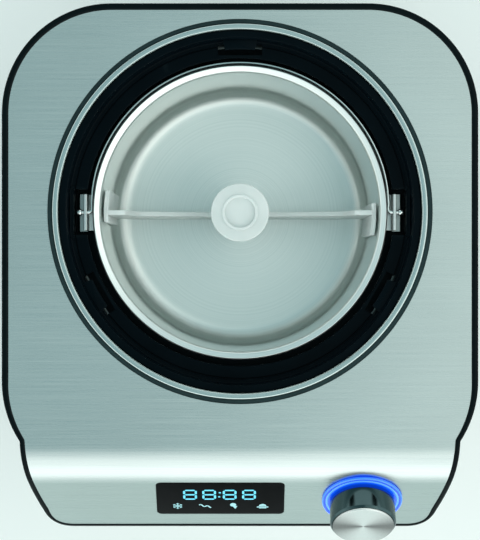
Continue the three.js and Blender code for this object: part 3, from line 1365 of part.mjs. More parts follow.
const SHROUD_DEPTH = 12;
const SHROUD_Y = CONDENSER_Y - CONDENSER_DEPTH / 2 - GAP - SHROUD_DEPTH / 2;
const FAN_Z = CONDENSER_MIDDLE;
const FAN_TIP_CLEARANCE = 2.5;
const FAN_MOTOR_RADIUS = 15;
const FAN_MOTOR_LENGTH = 22;
const FAN_MOTOR_CLEARANCE = 2; // behind the blades
const FAN_MOTOR_FRONT = SHROUD_Y - SHROUD_DEPTH / 2 - FAN_MOTOR_LENGTH - FAN_MOTOR_CLEARANCE;
const FAN_HUB_RADIUS = 13;
const FAN_BLADES = 5;
const FAN_BLADE_CHORD = 20;
const FAN_BLADE_THICKNESS = 1.6;
const FAN_BLADE_PITCH = THREE.MathUtils.degToRad(24);
const SHROUD_MARGIN = 6; // beside the fan's hole
const FAN_LEG_WIDTH = 14;
const FAN_LEG_DEPTH = 8;

function buildFan() {
  const shroudWidth = 2 * (FAN_RADIUS + FAN_TIP_CLEARANCE + SHROUD_MARGIN);
  const hole = post(FAN_RADIUS + FAN_TIP_CLEARANCE, -PAST_EDGE, PAST_EDGE, 0, 0, LARGE_SIDES)
    .rotateX(Math.PI / 2)
    .translate(FAN_X, SHROUD_Y, FAN_Z);
  const frame = block(shroudWidth, SHROUD_DEPTH, CONDENSER_HEIGHT, FAN_X, SHROUD_Y, FAN_Z);
  part("fan_shroud", subtract(frame, hole), FINISHES.greyPlastic);

  const hub = post(FAN_HUB_RADIUS, -SHROUD_DEPTH / 2 + 1, SHROUD_DEPTH / 2 - 1, 0, 0, MEDIUM_SIDES);
  const root = FAN_HUB_RADIUS - 2;
  const blades = [];
  for (let i = 0; i < FAN_BLADES; i += 1) {
    const blade = block(FAN_RADIUS - root, FAN_BLADE_CHORD, FAN_BLADE_THICKNESS, (FAN_RADIUS + root) / 2);
    blade.rotateX(FAN_BLADE_PITCH);
    blades.push(blade.rotateZ((i / FAN_BLADES) * 2 * Math.PI));
  }
  const disc = post(FAN_RADIUS, -PAST_EDGE, PAST_EDGE, 0, 0, LARGE_SIDES);
  const fan = intersect(add(hub, ...blades), disc).rotateX(Math.PI / 2);
  part("fan_blade", fan, FINISHES.nylon).position.set(FAN_X, SHROUD_Y, FAN_Z);

  const motor = post(FAN_MOTOR_RADIUS, 0, FAN_MOTOR_LENGTH, 0, 0, MEDIUM_SIDES).rotateX(-Math.PI / 2);
  const legHeight = FAN_Z - TRAY_FLOOR_TOP - GAP;
  const leg = block(FAN_LEG_WIDTH, FAN_LEG_DEPTH, legHeight, 0, FAN_MOTOR_LENGTH / 2, -legHeight / 2);
  part("fan_motor", add(motor, leg), FINISHES.blackSteel).position.set(
    FAN_X,
    FAN_MOTOR_FRONT,
    FAN_Z,
  );
}

const DRYER_MARGIN = 31; // dryer's axis from the body's side
const DRYER_X = -HALF_WIDTH + DRYER_MARGIN;
const DRYER_Y = 62;
const DRYER_RADIUS = 9;
const DRYER_LENGTH = 90;
const DRYER_CONE = 10; // length of each tapered end
const DRYER_NECK = 3;
const DRYER_DROP = 41; // dryer's upper end below the coil's tails
const DRYER_BOTTOM = COIL_TAIL_BOTTOM - DRYER_LENGTH - DRYER_DROP;

function buildDryer() {
  const dryer = turned(
    [
      [0, 0],
      [DRYER_NECK, 0],
      [DRYER_RADIUS, DRYER_CONE],
      [DRYER_RADIUS, DRYER_LENGTH - DRYER_CONE],
      [DRYER_NECK, DRYER_LENGTH],
      [0, DRYER_LENGTH],
    ],
    MEDIUM_SIDES,
  );
  part("filter_dryer", dryer, FINISHES.copper).position.set(DRYER_X, DRYER_Y, DRYER_BOTTOM);
}

const CONDENSER_LEFT = CONDENSER_X - CONDENSER_WIDTH / 2 - GAP;
const PORT_Y = COMPRESSOR_Y + COMPRESSOR_RADIUS; // rear of the compressor, where its pipes join
const PORT_ASIDE = 12; // each port to one side of the compressor's axis
const BEND = 12; // a pipe's usual bend
const PIPE_END = 6; // condenser's pipe ends inside its upper and lower edges
const TAIL_DROP = 8; // straight part below a coil's tail

// Hot gas: from the compressor's rear round to the condenser's upper left.
function dischargeRoute() {
  const top = CONDENSER_BOTTOM + CONDENSER_HEIGHT - PIPE_END;
  const portZ = COMPRESSOR_BOTTOM + COMPRESSOR_HEIGHT_SHARE * (COMPRESSOR_TOP - COMPRESSOR_BOTTOM);
  return [
    point(COMPRESSOR_X - PORT_ASIDE, PORT_Y + GAP, portZ),
    point(COMPRESSOR_X - PORT_ASIDE, PORT_Y + 2 * BEND, portZ + PIPE_END / 2),
    point(COMPRESSOR_X - BEND, CONDENSER_Y - 2 * BEND, top - PIPE_END),
    point(CONDENSER_LEFT - 2 * BEND, CONDENSER_Y, top),
    point(CONDENSER_LEFT, CONDENSER_Y, top),
  ];
}

// Liquid: from the condenser's lower left to the dryer's foot.
function liquidRoute() {
  const low = CONDENSER_BOTTOM + PIPE_END;
  return [
    point(CONDENSER_LEFT, CONDENSER_Y, low),
    point(CONDENSER_LEFT - 2 * BEND, CONDENSER_Y, low),
    point(DRYER_X + BEND, DRYER_Y + BEND, low),
    point(DRYER_X, DRYER_Y, low + BEND),
    point(DRYER_X, DRYER_Y, DRYER_BOTTOM - GAP),
  ];
}

// From the dryer's head up to the coil's upper tail.
function capillaryRoute() {
  const tail = tailPoint(COIL_TAIL_RADIUS, -TAIL_ASIDE / 2, COIL_TAIL_BOTTOM - GAP);
  const head = DRYER_BOTTOM + DRYER_LENGTH;
  return [
    point(DRYER_X, DRYER_Y, head + GAP),
    point(DRYER_X, DRYER_Y, head + TAIL_DROP),
    point(tail.x - BEND / 2, tail.y + BEND / 3, tail.z - 2 * BEND),
    point(tail.x, tail.y, tail.z - TAIL_DROP),
    tail,
  ];
}

// From the coil's lower tail down to the compressor's rear.
function suctionRoute() {
  const tail = tailPoint(COIL_TAIL_RADIUS, TAIL_ASIDE, COIL_TAIL_BOTTOM - GAP);
  return [
    tail,
    point(tail.x, tail.y, tail.z - TAIL_DROP),
    point(tail.x - TAIL_DROP, tail.y - BEND, tail.z - 2 * BEND),
    point(COMPRESSOR_X + PORT_ASIDE, PORT_Y + 2 * BEND, COMPRESSOR_TOP - BEND),
    point(COMPRESSOR_X + PORT_ASIDE, PORT_Y + BEND, COMPRESSOR_TOP - 3 * BEND),
    point(COMPRESSOR_X + PORT_ASIDE, PORT_Y + 2, COMPRESSOR_TOP - 4 * BEND),
  ];
}

function buildPipes() {
  part("discharge_pipe", tube(dischargeRoute(), PIPE, 14, 6), FINISHES.copper);
  part("liquid_pipe", tube(liquidRoute(), PIPE, 14, 6), FINISHES.copper);
  part("capillary_tube", tube(capillaryRoute(), CAPILLARY, 12, 6), FINISHES.copper);
  part("suction_pipe", tube(suctionRoute(), PIPE, 16, 6), FINISHES.copper);
}

// ---------- controls ----------

const BOARD_DEPTH = 9; // display board below the panel's face
const BOARD_MARGIN = 4; // board outside the window, and display inside it
const DISPLAY_THICKNESS = 5;
const WINDOW_PROUD = 0.1;

function buildWindow() {
  const glass = windowPlate(0, WINDOW_PROUD - WINDOW_THICKNESS, WINDOW_PROUD);
  part("display_window", glass, FINISHES.glass, windowGroup);
  const board = block(
    WINDOW_WIDTH + 2 * BOARD_MARGIN,
    WINDOW_HEIGHT + BOARD_MARGIN,
    BOARD_THICKNESS,
    0,
    0,
    -BOARD_DEPTH,
  );
  const display = block(
    WINDOW_WIDTH - 2 * BOARD_MARGIN,
    WINDOW_HEIGHT - 2 * BOARD_MARGIN,
    DISPLAY_THICKNESS,
    0,
    0,
    -BOARD_DEPTH + DISPLAY_THICKNESS / 2,
  );
  part("display_board", add(board, display), FINISHES.board, windowGroup);
  machine.add(windowGroup);
}

const RING_SEAT = 1.2; // the ring's spigot reaches this far below the steel
const COLLET = KNOB_SHAFT / 2 + GAP;

const ENCODER_DEPTH = 16;
const ENCODER_WIDTH = 14;
const ENCODER_HEIGHT = 10;
const ENCODER_CLEARANCE = 0.2; // round the shaft
const ENCODER_NOSE_RADIUS = 6;
const ENCODER_BOARD = 26;
const PLUNGER_LENGTH = 2;
const PLUNGER_RISE = 5; // shaft's lower end above the encoder's middle

function encoderSolid() {
  const caseTop = -ENCODER_DEPTH + ENCODER_HEIGHT - 1;
  const noseTop = -SHEET - RING_SEAT - ENCODER_NOSE_RADIUS / 4;
  const encoder = block(ENCODER_WIDTH, ENCODER_WIDTH, ENCODER_HEIGHT, 0, 0, caseTop - ENCODER_HEIGHT / 2);
  const nose = post(ENCODER_NOSE_RADIUS, caseTop - 1, noseTop, 0, 0, MEDIUM_SIDES);
  const base = block(ENCODER_BOARD, ENCODER_BOARD, BOARD_THICKNESS, 0, 0, caseTop - ENCODER_HEIGHT - 0.2);
  return add(encoder, nose, base);
}

const RING_BEVEL = 0.6;
const SHAFT_ROOM = 2; // round the knob's shaft, inside the ring
const SKIRT_CLEARANCE = 0.8; // left under the knob when it is pressed
const KNOB_SHOULDER = 1.4; // height of the bevel under the turned face
const KNOB_LEDGE = 0.4; // width of the step round the turned face
const KNOB_SOCKET_ROOF = 4; // shaft socket below the face
const FACE_BEVEL = 0.5;

function buildKnob() {
  const spigot = RING_RADIUS - RING_OVERLAP - GAP;
  const ringBore = KNOB_SHAFT / 2 + SHAFT_ROOM;
  const lightRing = turned([
    [ringBore, -SHEET - RING_SEAT],
    [spigot, -SHEET - RING_SEAT],
    [spigot, GAP],
    [RING_RADIUS, GAP],
    [RING_RADIUS, RING_PROUD - RING_BEVEL],
    [RING_RADIUS - RING_BEVEL, RING_PROUD],
    [ringBore, RING_PROUD],
  ], KNOB_SIDES);
  part("knob_light_ring", lightRing, FINISHES.blueLight, knobGroup);

  const skirtBottom = RING_PROUD + KNOB_TRAVEL + SKIRT_CLEARANCE;
  const socketRoof = KNOB_TOP - KNOB_SOCKET_ROOF;
  const faceBottom = KNOB_TOP - KNOB_FACE_THICKNESS;
  const body = turned([
    [COLLET, skirtBottom],
    [KNOB_RADIUS, skirtBottom],
    [KNOB_RADIUS, faceBottom - KNOB_SHOULDER],
    [KNOB_FACE_RADIUS + KNOB_LEDGE, faceBottom],
    [0, faceBottom],
    [0, socketRoof],
    [COLLET, socketRoof],
  ], KNOB_SIDES);
  part("knob_body", body, FINISHES.darkPlastic, knobGroup);

  const face = turned([
    [0, faceBottom + GAP / 3],
    [KNOB_FACE_RADIUS, faceBottom + GAP / 3],
    [KNOB_FACE_RADIUS, KNOB_TOP - FACE_BEVEL],
    [KNOB_FACE_RADIUS - FACE_BEVEL, KNOB_TOP],
    [0, KNOB_TOP],
  ], KNOB_SIDES);
  part("knob_cap", face, FINISHES.aluminium, knobGroup);

  const shaftBottom = -ENCODER_DEPTH + PLUNGER_RISE;
  const shaft = post(KNOB_SHAFT / 2, shaftBottom, socketRoof - GAP, 0, 0, SMALL_SIDES);
  part("knob_shaft", shaft, FINISHES.zinc, knobGroup);

  const plungerBottom = shaftBottom - GAP - PLUNGER_LENGTH;
  const plunger = post(KNOB_SHAFT / 2, plungerBottom, shaftBottom - GAP, 0, 0, SMALL_SIDES);
  part("encoder_plunger", plunger, FINISHES.nylon, knobGroup);

  const boreRadius = KNOB_SHAFT / 2 + ENCODER_CLEARANCE;
  const bore = post(boreRadius, plungerBottom - KNOB_TRAVEL - GAP, PAST_EDGE, 0, 0, SMALL_SIDES);
  part("encoder_body", subtract(encoderSolid(), bore), FINISHES.greyPlastic, knobGroup);
  machine.add(knobGroup);
}

const POWER_BOARD_WIDTH = 110;
const POWER_BOARD_HEIGHT = 84;
const POWER_BOARD_X = 10;
const POWER_BOARD_Z = 100;
const POWER_BOARD_SETBACK = 14; // behind the front wall
const TRANSFORMER_WIDTH = 34;
const TRANSFORMER_DEPTH = 26;
const TRANSFORMER_HEIGHT = 30;
const CAPACITOR_RADIUS = 9;
const CAPACITOR_HEIGHT = 26;

// An upright board behind the front wall, with its transformer and its largest capacitor.
function buildPowerBoard() {
  const y = -BODY_FRONT + WALL + POWER_BOARD_SETBACK;
  const board = block(POWER_BOARD_WIDTH, BOARD_THICKNESS, POWER_BOARD_HEIGHT);
  board.translate(POWER_BOARD_X, y, POWER_BOARD_Z);
  const transformer = block(
    TRANSFORMER_WIDTH,
    TRANSFORMER_DEPTH,
    TRANSFORMER_HEIGHT,
    POWER_BOARD_X - TRANSFORMER_DEPTH,
    y + TRANSFORMER_DEPTH / 2,
    POWER_BOARD_Z - TRANSFORMER_HEIGHT / 2,
  );
  const foot = POWER_BOARD_Z + POWER_BOARD_HEIGHT / 8;
  const capacitorX = POWER_BOARD_X + 4 * CAPACITOR_RADIUS;
  const capacitor = post(
    CAPACITOR_RADIUS,
    foot,
    foot + CAPACITOR_HEIGHT,
    capacitorX,
    y + CAPACITOR_RADIUS,
    14,
  );
  part("power_board", add(board, transformer, capacitor), FINISHES.board);
}

// ---------- assembly ----------

buildFeet();
buildBaseTray();
buildOuterShell();
buildCordGland();
buildFrontPanel();
buildRearCover();
buildCoverScrews();
buildConsoleFrame();
buildDeck();
buildCollar();
buildWell();
buildCoil();
buildFoam();
buildHeater();
buildShelf();
buildBowl();
buildPaddle();
buildPaddleBush();
buildDriveShaft();
buildGears();
buildGearbox();
buildBearingAndSeal();
buildMotor();
buildCompressor();
buildGrommets();
buildCondenser();
buildFan();
buildDryer();
buildPipes();
buildWindow();
buildKnob();
buildPowerBoard();

const box = new THREE.Box3().setFromObject(machine, true);
machine.position.set(-(box.min.x + box.max.x) / 2, -(box.min.y + box.max.y) / 2, -box.min.z);

export default machine;
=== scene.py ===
"""Looks of the ice cream maker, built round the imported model.

Shapes are drawn in millimetres about the bowl's axis, front towards -Y, and put in metres in the frame.
"""

import math

import bmesh
import bpy
from mathutils import Matrix, Vector


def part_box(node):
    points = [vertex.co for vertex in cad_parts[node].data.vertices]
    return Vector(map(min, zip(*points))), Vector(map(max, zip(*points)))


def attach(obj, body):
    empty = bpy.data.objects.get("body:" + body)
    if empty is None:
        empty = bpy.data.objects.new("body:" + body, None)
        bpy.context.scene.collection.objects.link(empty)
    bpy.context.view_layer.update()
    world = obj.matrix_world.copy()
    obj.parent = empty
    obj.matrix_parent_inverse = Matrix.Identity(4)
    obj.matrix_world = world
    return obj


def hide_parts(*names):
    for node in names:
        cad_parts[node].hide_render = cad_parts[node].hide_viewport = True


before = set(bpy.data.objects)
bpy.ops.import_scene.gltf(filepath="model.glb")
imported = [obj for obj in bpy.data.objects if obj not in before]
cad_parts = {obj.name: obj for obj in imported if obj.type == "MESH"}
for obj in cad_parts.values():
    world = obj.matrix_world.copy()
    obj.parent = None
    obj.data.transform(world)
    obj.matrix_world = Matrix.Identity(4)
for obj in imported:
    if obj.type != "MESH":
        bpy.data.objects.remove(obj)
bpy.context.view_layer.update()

MM = 0.001
GAP = 0.3


def node_box(node):
    low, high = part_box(node)
    return Vector(low) / MM, Vector(high) / MM


bowl_low, bowl_high = node_box("bowl")
AXIS = Vector(((bowl_low.x + bowl_high.x) / 2, (bowl_low.y + bowl_high.y) / 2, 0))


def local_box(node):
    low, high = node_box(node)
    return low - AXIS, high - AXIS


def extent(node):
    """A node's size and its centre."""
    low, high = local_box(node)
    return high - low, (low + high) / 2


# ---------- driving dimensions ----------

frame_low, frame_high = local_box("console_frame")
shell_low, shell_high = local_box("outer_shell")
tray_low, tray_high = local_box("base_tray")
collar_low, collar_high = local_box("well_collar")
well_low, well_high = local_box("cooling_well")
bowl_low, bowl_high = local_box("bowl")
paddle_low, paddle_high = local_box("paddle")

DECK = collar_high.z + GAP
HALF_WIDTH = frame_high.x
REAR = frame_high.y
FRONT = -shell_low.y
CORNER = 66
BAND = 4.0
BAND_NOSE = 3.1
BAND_LIP = 1.7
BEND_START = 140.4
BEND_RADIUS = 29.6
TILT = math.radians(50)
PANEL_LENGTH = 49.2
NOSE_FRONT = -frame_low.y
NOSE_SIDE = 138
NOSE_TIP = 121
NOSE_FLAT = 103
NOSE_THICKNESS = 6
SHEET = 1.2

MOUTH = 109
LIP_TOP = 3.6
LIP_OUTER = 116.2
LEDGE = DECK - 14
COLLAR_WALL = 104
LEDGE_INNER = 93.5
CATCH_ANGLES = (90, 210, 330)
POCKET_IN = 88
POCKET_OUT = 101
POCKET_MIDDLE = (POCKET_IN + POCKET_OUT) / 2
POCKET_HALF = 14
SEAT_IN = 93.3  # bright part of the flange seen in each pocket
SEAT_OUT = 98.4
SEAT_HALF = 11.4

RIM = bowl_high.z
BOWL_BOTTOM = bowl_low.z
BOWL_RADIUS = 86.2
BOWL_WALL = 1.6
RIM_RADIUS = bowl_high.x
TUBE_TOP = BOWL_BOTTOM + 70
BAIL_Z = RIM - 6.5
BAIL_RADIUS = 91.2
WIRE = 2.5

KNOB_X = 74.7
KNOB_DOWN = 18.9
KNOB_RADIUS = 20
KNOB_TOP = 20
RING_RADIUS = 24.5
RING_PROUD = 2
WINDOW_X = -12
WINDOW_WIDTH = 78
WINDOW_HEIGHT = 34
WINDOW_TOP = 1.2

ROUND_STEPS = 192  # facets round a large turned piece


# ---------- mesh tools ----------


def put(point):
    return (Vector(point) + AXIS) * MM


def rotation(degrees, axis):
    return Matrix.Rotation(math.radians(degrees), 4, axis)


def rear_place(centre):
    """A place on the rear wall for a piece drawn face up."""
    return Matrix.Translation((centre.x, REAR, centre.z)) @ rotation(-90, "X")


def panel_matrix(x, down):
    """From panel coordinates (across, up the slope, out of the panel) to local millimetres."""
    y = -BEND_START - BEND_RADIUS * math.sin(TILT) - down * math.cos(TILT)
    z = DECK - BEND_RADIUS * (1 - math.cos(TILT)) - down * math.sin(TILT)
    return Matrix.Translation((x, y, z)) @ Matrix.Rotation(TILT, 4, "X")


KNOB_PLACE = panel_matrix(KNOB_X, KNOB_DOWN)
WINDOW_PLACE = panel_matrix(WINDOW_X, WINDOW_TOP + WINDOW_HEIGHT / 2)
HOME = Matrix.Identity(4)


def mark_edges(bm, angle):
    """Smooth faces with sharp edges wherever two faces meet at more than an angle."""
    limit = math.radians(angle)
    for edge in bm.edges:
        if len(edge.link_faces) == 2:
            edge.smooth = edge.calc_face_angle(0) < limit
    for face in bm.faces:
        face.smooth = True


def new_object(name, bm):
    mesh = bpy.data.meshes.new(name)
    bm.to_mesh(mesh)
    bm.free()
    obj = bpy.data.objects.new(name, mesh)
    bpy.context.scene.collection.objects.link(obj)
    return obj


def solid(name, verts, faces, place=HOME, angle=32):
    bm = bmesh.new()
    made = [bm.verts.new(v) for v in verts]
    for face in faces:
        bm.faces.new([made[i] for i in face])
    bmesh.ops.remove_doubles(bm, verts=bm.verts, dist=1e-4)
    bmesh.ops.recalc_face_normals(bm, faces=bm.faces)
    mark_edges(bm, angle)
    for vertex in bm.verts:
        vertex.co = put(place @ vertex.co)
    return new_object(name, bm)


def curve(a, control, b, steps):
    out = []
    for k in range(steps + 1):
        t = k / steps
        out.append(tuple((1 - t) ** 2 * Vector(a) + 2 * t * (1 - t) * Vector(control) + t ** 2 * Vector(b)))
    return out


def fillet(points, radius, steps=4):
    """Rounds the corners of a closed outline. A radius may be one number or one for each corner."""
    out = []
    count = len(points)
    for i, here in enumerate(points):
        r = radius[i] if isinstance(radius, (list, tuple)) else radius
        before = Vector(points[i - 1]) - Vector(here)
        after = Vector(points[(i + 1) % count]) - Vector(here)
        half = before.angle(after, math.pi) / 2
        if r <= 0 or half > math.radians(88):
            out.append(tuple(here))
            continue
        reach = min(r / math.tan(half), 0.48 * before.length, 0.48 * after.length)
        start = Vector(here) + before.normalized() * reach
        end = Vector(here) + after.normalized() * reach
        out += curve(start, here, end, steps)
    return out


def lathe(name, profile, place=HOME, steps=ROUND_STEPS, angle=32, centre=(0, 0)):
    """A closed profile of (radius, height) pairs turned about the upright axis."""
    verts, faces, rings = [], [], []
    for radius, height in profile:
        if radius < 1e-6:
            rings.append([len(verts)])
            verts.append((centre[0], centre[1], height))
            continue
        rings.append(list(range(len(verts), len(verts) + steps)))
        for k in range(steps):
            turn = 2 * math.pi * k / steps
            verts.append((centre[0] + radius * math.cos(turn), centre[1] + radius * math.sin(turn), height))
    for i, low in enumerate(rings):
        high = rings[(i + 1) % len(rings)]
        for k in range(steps):
            a, b = low[k % len(low)], low[(k + 1) % len(low)]
            c, d = high[(k + 1) % len(high)], high[k % len(high)]
            corners = list(dict.fromkeys((a, b, c, d)))
            if len(corners) > 2:
                faces.append(corners)
    return solid(name, verts, faces, place, angle)


def arc(cx, cy, radius, start, end, steps):
    turns = [math.radians(start + (end - start) * k / steps) for k in range(steps + 1)]
    return [(cx + radius * math.cos(t), cy + radius * math.sin(t)) for t in turns]


def rounded_rectangle(width, height, corner, steps=8, cx=0, cy=0):
    x, y = width / 2 - corner, height / 2 - corner
    out = []
    for sx, sy, start in ((1, -1, -90), (1, 1, 0), (-1, 1, 90), (-1, -1, 180)):
        out += arc(cx + sx * x, cy + sy * y, corner, start, start + 90, steps)
    return out


def inward(points):
    """Unit normals pointing into a counter-clockwise closed outline."""
    out = []
    count = len(points)
    for i in range(count):
        along = Vector(points[(i + 1) % count]) - Vector(points[i - 1])
        out.append(Vector((-along.y, along.x)).normalized())
    return out


def clean_outline(points):
    out = []
    for p in points:
        if not out or (Vector(p) - Vector(out[-1])).length > 0.05:
            out.append(tuple(p))
    if (Vector(out[0]) - Vector(out[-1])).length <= 0.05:
        out.pop()
    return out


def loft(name, outline, section, place=HOME, angle=32, closed=True, caps=False):
    """Carries a section round an outline. section(i, point, normal) gives a list of (inset, height)."""
    outline = clean_outline(outline)
    normals = inward(outline)
    rows = []
    verts, faces = [], []
    for i, (p, n) in enumerate(zip(outline, normals)):
        row = []
        for inset, height in section(i, p, n):
            row.append(len(verts))
            verts.append((p[0] + n.x * inset, p[1] + n.y * inset, height))
        rows.append(row)
    across = len(rows[0])
    for i in range(len(rows)):
        a, b = rows[i], rows[(i + 1) % len(rows)]
        for k in range(across if closed else across - 1):
            nxt = (k + 1) % across
            faces.append((a[k], b[k], b[nxt], a[nxt]))
    if caps:
        faces.append([row[0] for row in rows][::-1])
        faces.append([row[-1] for row in rows])
    return solid(name, verts, faces, place, angle)


def plate(name, outline, bottom, top, bevel=0.3, place=HOME, angle=32, bottom_bevel=0.0):
    """A flat plate with rounded edges."""
    def section(_i, _p, _n):
        rows = []
        if bottom_bevel:
            rows += [(bottom_bevel, bottom), (bottom_bevel * 0.3, bottom + bottom_bevel * 0.3)]
            rows += [(0, bottom + bottom_bevel)]
        else:
            rows += [(0, bottom)]
        if bevel:
            for k in range(5):
                t = math.radians(90 * k / 4)
                rows.append((bevel * (1 - math.cos(t)), top - bevel + bevel * math.sin(t)))
        else:
            rows.append((0, top))
        return rows

    return loft(name, outline, section, place, angle, closed=False, caps=True)


def tube(name, points, diameter, place, sides):
    """A round bar along a list of points."""
    path = [Vector(p) for p in points]
    verts, faces, rows = [], [], []
    side = None
    for i, p in enumerate(path):
        ahead = (path[min(i + 1, len(path) - 1)] - path[max(i - 1, 0)]).normalized()
        if side is None:
            side = ahead.orthogonal().normalized()
        side = (side - ahead * side.dot(ahead)).normalized()
        up = ahead.cross(side)
        row = []
        for k in range(sides):
            turn = 2 * math.pi * k / sides
            row.append(len(verts))
            verts.append(p + (side * math.cos(turn) + up * math.sin(turn)) * diameter / 2)
        rows.append(row)
    for a, b in zip(rows, rows[1:]):
        for k in range(sides):
            nxt = (k + 1) % sides
            faces.append((a[k], a[nxt], b[nxt], b[k]))
    faces.append(rows[0][::-1])
    faces.append(rows[-1])
    return solid(name, verts, faces, place)


def prism(name, one_end, other_end):
    """A solid between two outlines with as many points as each other."""
    count = len(one_end)
    faces = [tuple(range(count))[::-1], tuple(range(count, 2 * count))]
    for k in range(count):
        nxt = (k + 1) % count
        faces.append((k, nxt, count + nxt, count + k))
    return solid(name, one_end + other_end, faces)


def side_prism(name, outline):
    """A (y, z) outline carried past both sides, for cutting."""
    reach = 160
    return prism(name, [(-reach, y, z) for y, z in outline], [(reach, y, z) for y, z in outline])


def apply_modifiers(obj):
    graph = bpy.context.evaluated_depsgraph_get()
    mesh = bpy.data.meshes.new_from_object(obj.evaluated_get(graph))
    obj.modifiers.clear()
    old = obj.data
    obj.data = mesh
    bpy.data.meshes.remove(old)


def combine(obj, others, operation="DIFFERENCE"):
    for other in others:
        step = obj.modifiers.new("cut", "BOOLEAN")
        step.operation = operation
        step.solver = "EXACT"
        step.object = other
    apply_modifiers(obj)
    for other in others:
        bpy.data.objects.remove(other)


def crease(obj, angle=32):
    """Marks sharp edges again after a cut and lets large faces set the normals."""
    mesh = obj.data
    bm = bmesh.new()
    bm.from_mesh(mesh)
    bmesh.ops.remove_doubles(bm, verts=bm.verts, dist=1e-7)
    mark_edges(bm, angle)
    bm.to_mesh(mesh)
    bm.free()
    step = obj.modifiers.new("normals", "WEIGHTED_NORMAL")
    step.keep_sharp = True
    step.weight = 100


def round_edges(obj, width):
    step = obj.modifiers.new("round", "BEVEL")
    step.width = width * MM
    step.segments = 2
    step.limit_method = "ANGLE"
    step.angle_limit = math.radians(32)
    apply_modifiers(obj)
    crease(obj)


def block(name, size, centre, turn=0.0, place=HOME):
    """A rectangular cutting or building block, turned about the upright axis through the bowl."""
    x, y, z = (s / 2 for s in size)
    spin = rotation(turn, "Z")
    corners = [(a, b, c) for a in (-x, x) for b in (-y, y) for c in (-z, z)]
    verts = [spin @ (Vector(c) + Vector(centre)) for c in corners]
    faces = [(0, 1, 3, 2), (4, 6, 7, 5), (0, 4, 5, 1), (2, 3, 7, 6), (0, 2, 6, 4), (1, 5, 7, 3)]
    return solid(name, verts, faces, place)


def dress(obj, finish, body, slot, *nodes):
    """Gives a piece its material and its body, and hides the CAD nodes that it stands for. The slot argument
    is not used.
    """
    obj.data.materials.clear()
    obj.data.materials.append(finish)
    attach(obj, body)
    if nodes:
        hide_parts(*nodes)


# ---------- outlines ----------


def body_outline(inset=0.0, steps=28):
    return rounded_rectangle(
        2 * (HALF_WIDTH - inset), FRONT + REAR - 2 * inset, CORNER - inset, steps, 0, (REAR - FRONT) / 2
    )


def line(a, b, spacing=6.0):
    count = max(1, round((Vector(b) - Vector(a)).length / spacing))
    return [tuple(Vector(a).lerp(Vector(b), k / count)) for k in range(count + 1)]


def top_outline():
    """The console frame in plan, counter-clockwise from the front lip's left end."""
    centre_y = CORNER - FRONT
    centre_x = HALF_WIDTH - CORNER
    kink = math.degrees(math.asin((centre_y + NOSE_SIDE) / CORNER))
    kink_x = centre_x + CORNER * math.cos(math.radians(kink))
    tip_y = -(NOSE_FRONT - (FRONT - BEND_START) / 2.4)
    front_y = -NOSE_FRONT
    middle_y = (tip_y - NOSE_SIDE) / 2
    right = curve((NOSE_FLAT, front_y), (NOSE_TIP - 4, front_y), (NOSE_TIP, tip_y), 24)
    right += curve((NOSE_TIP, tip_y), (kink_x - 1, middle_y), (kink_x, -NOSE_SIDE), 24)
    right += arc(centre_x, centre_y, CORNER, -kink, 0, 18)
    right += line((HALF_WIDTH, centre_y), (HALF_WIDTH, REAR - CORNER))
    right += arc(centre_x, REAR - CORNER, CORNER, 0, 90, 40)
    left = [(-x, y) for x, y in reversed(right)]
    front = line((-NOSE_FLAT, front_y), (NOSE_FLAT, front_y))
    back = line((centre_x, REAR), (-centre_x, REAR))
    return clean_outline(front + right + back + left)


def deck_height(y):
    """Height of the steel's top face, from the flat deck over the bend and down the panel."""
    ahead = -BEND_START - y
    if ahead <= 0:
        return DECK
    bend_end = BEND_RADIUS * math.sin(TILT)
    if ahead < bend_end:
        return DECK - BEND_RADIUS + math.sqrt(BEND_RADIUS ** 2 - ahead ** 2)
    return DECK - BEND_RADIUS * (1 - math.cos(TILT)) - (ahead - bend_end) * math.tan(TILT)


def nose_bottom(y):
    tip = DECK - BEND_RADIUS * (1 - math.cos(TILT)) - PANEL_LENGTH * math.sin(TILT) - NOSE_THICKNESS
    if y >= -FRONT:
        return frame_low.z
    return frame_low.z + (tip - frame_low.z) * (-FRONT - y) / (NOSE_FRONT - FRONT)


def band_width(point):
    """The black band: wide round the body, narrower beside the panel and thin along the front lip."""
    x, y = point
    if y > -NOSE_SIDE:
        return BAND + (BAND_NOSE - BAND) * max(0.0, min(1.0, (-y - 100) / (NOSE_SIDE - 100)))
    share = max(0.0, min(1.0, (-y - (NOSE_FRONT - 12)) / 11))
    share = share * share * (3 - 2 * share)
    return BAND_NOSE + (BAND_LIP - BAND_NOSE) * share


# ---------- materials ----------


def material(name):
    made = bpy.data.materials.new(name)
    made.use_nodes = True
    tree = made.node_tree
    return made, tree, tree.nodes["Principled BSDF"]


def fill(tree, node, inputs):
    """Sets a node's inputs, each to a plain value or to another node's socket."""
    for key, value in inputs.items():
        if isinstance(value, bpy.types.NodeSocket):
            tree.links.new(value, node.inputs[key])
        else:
            node.inputs[key].default_value = value


def add_node(tree, kind, inputs=None, **settings):
    made = tree.nodes.new(kind)
    for key, value in settings.items():
        setattr(made, key, value)
    fill(tree, made, inputs or {})
    return made


def maths(tree, operation, *sources):
    return add_node(tree, "ShaderNodeMath", dict(enumerate(sources)), operation=operation).outputs["Value"]


def vector_maths(tree, operation, *sources):
    made = add_node(tree, "ShaderNodeVectorMath", dict(enumerate(sources)), operation=operation)
    return made.outputs["Value" if operation in ("LENGTH", "DOT_PRODUCT") else "Vector"]


def own_space(tree):
    return add_node(tree, "ShaderNodeTexCoord").outputs["Object"]


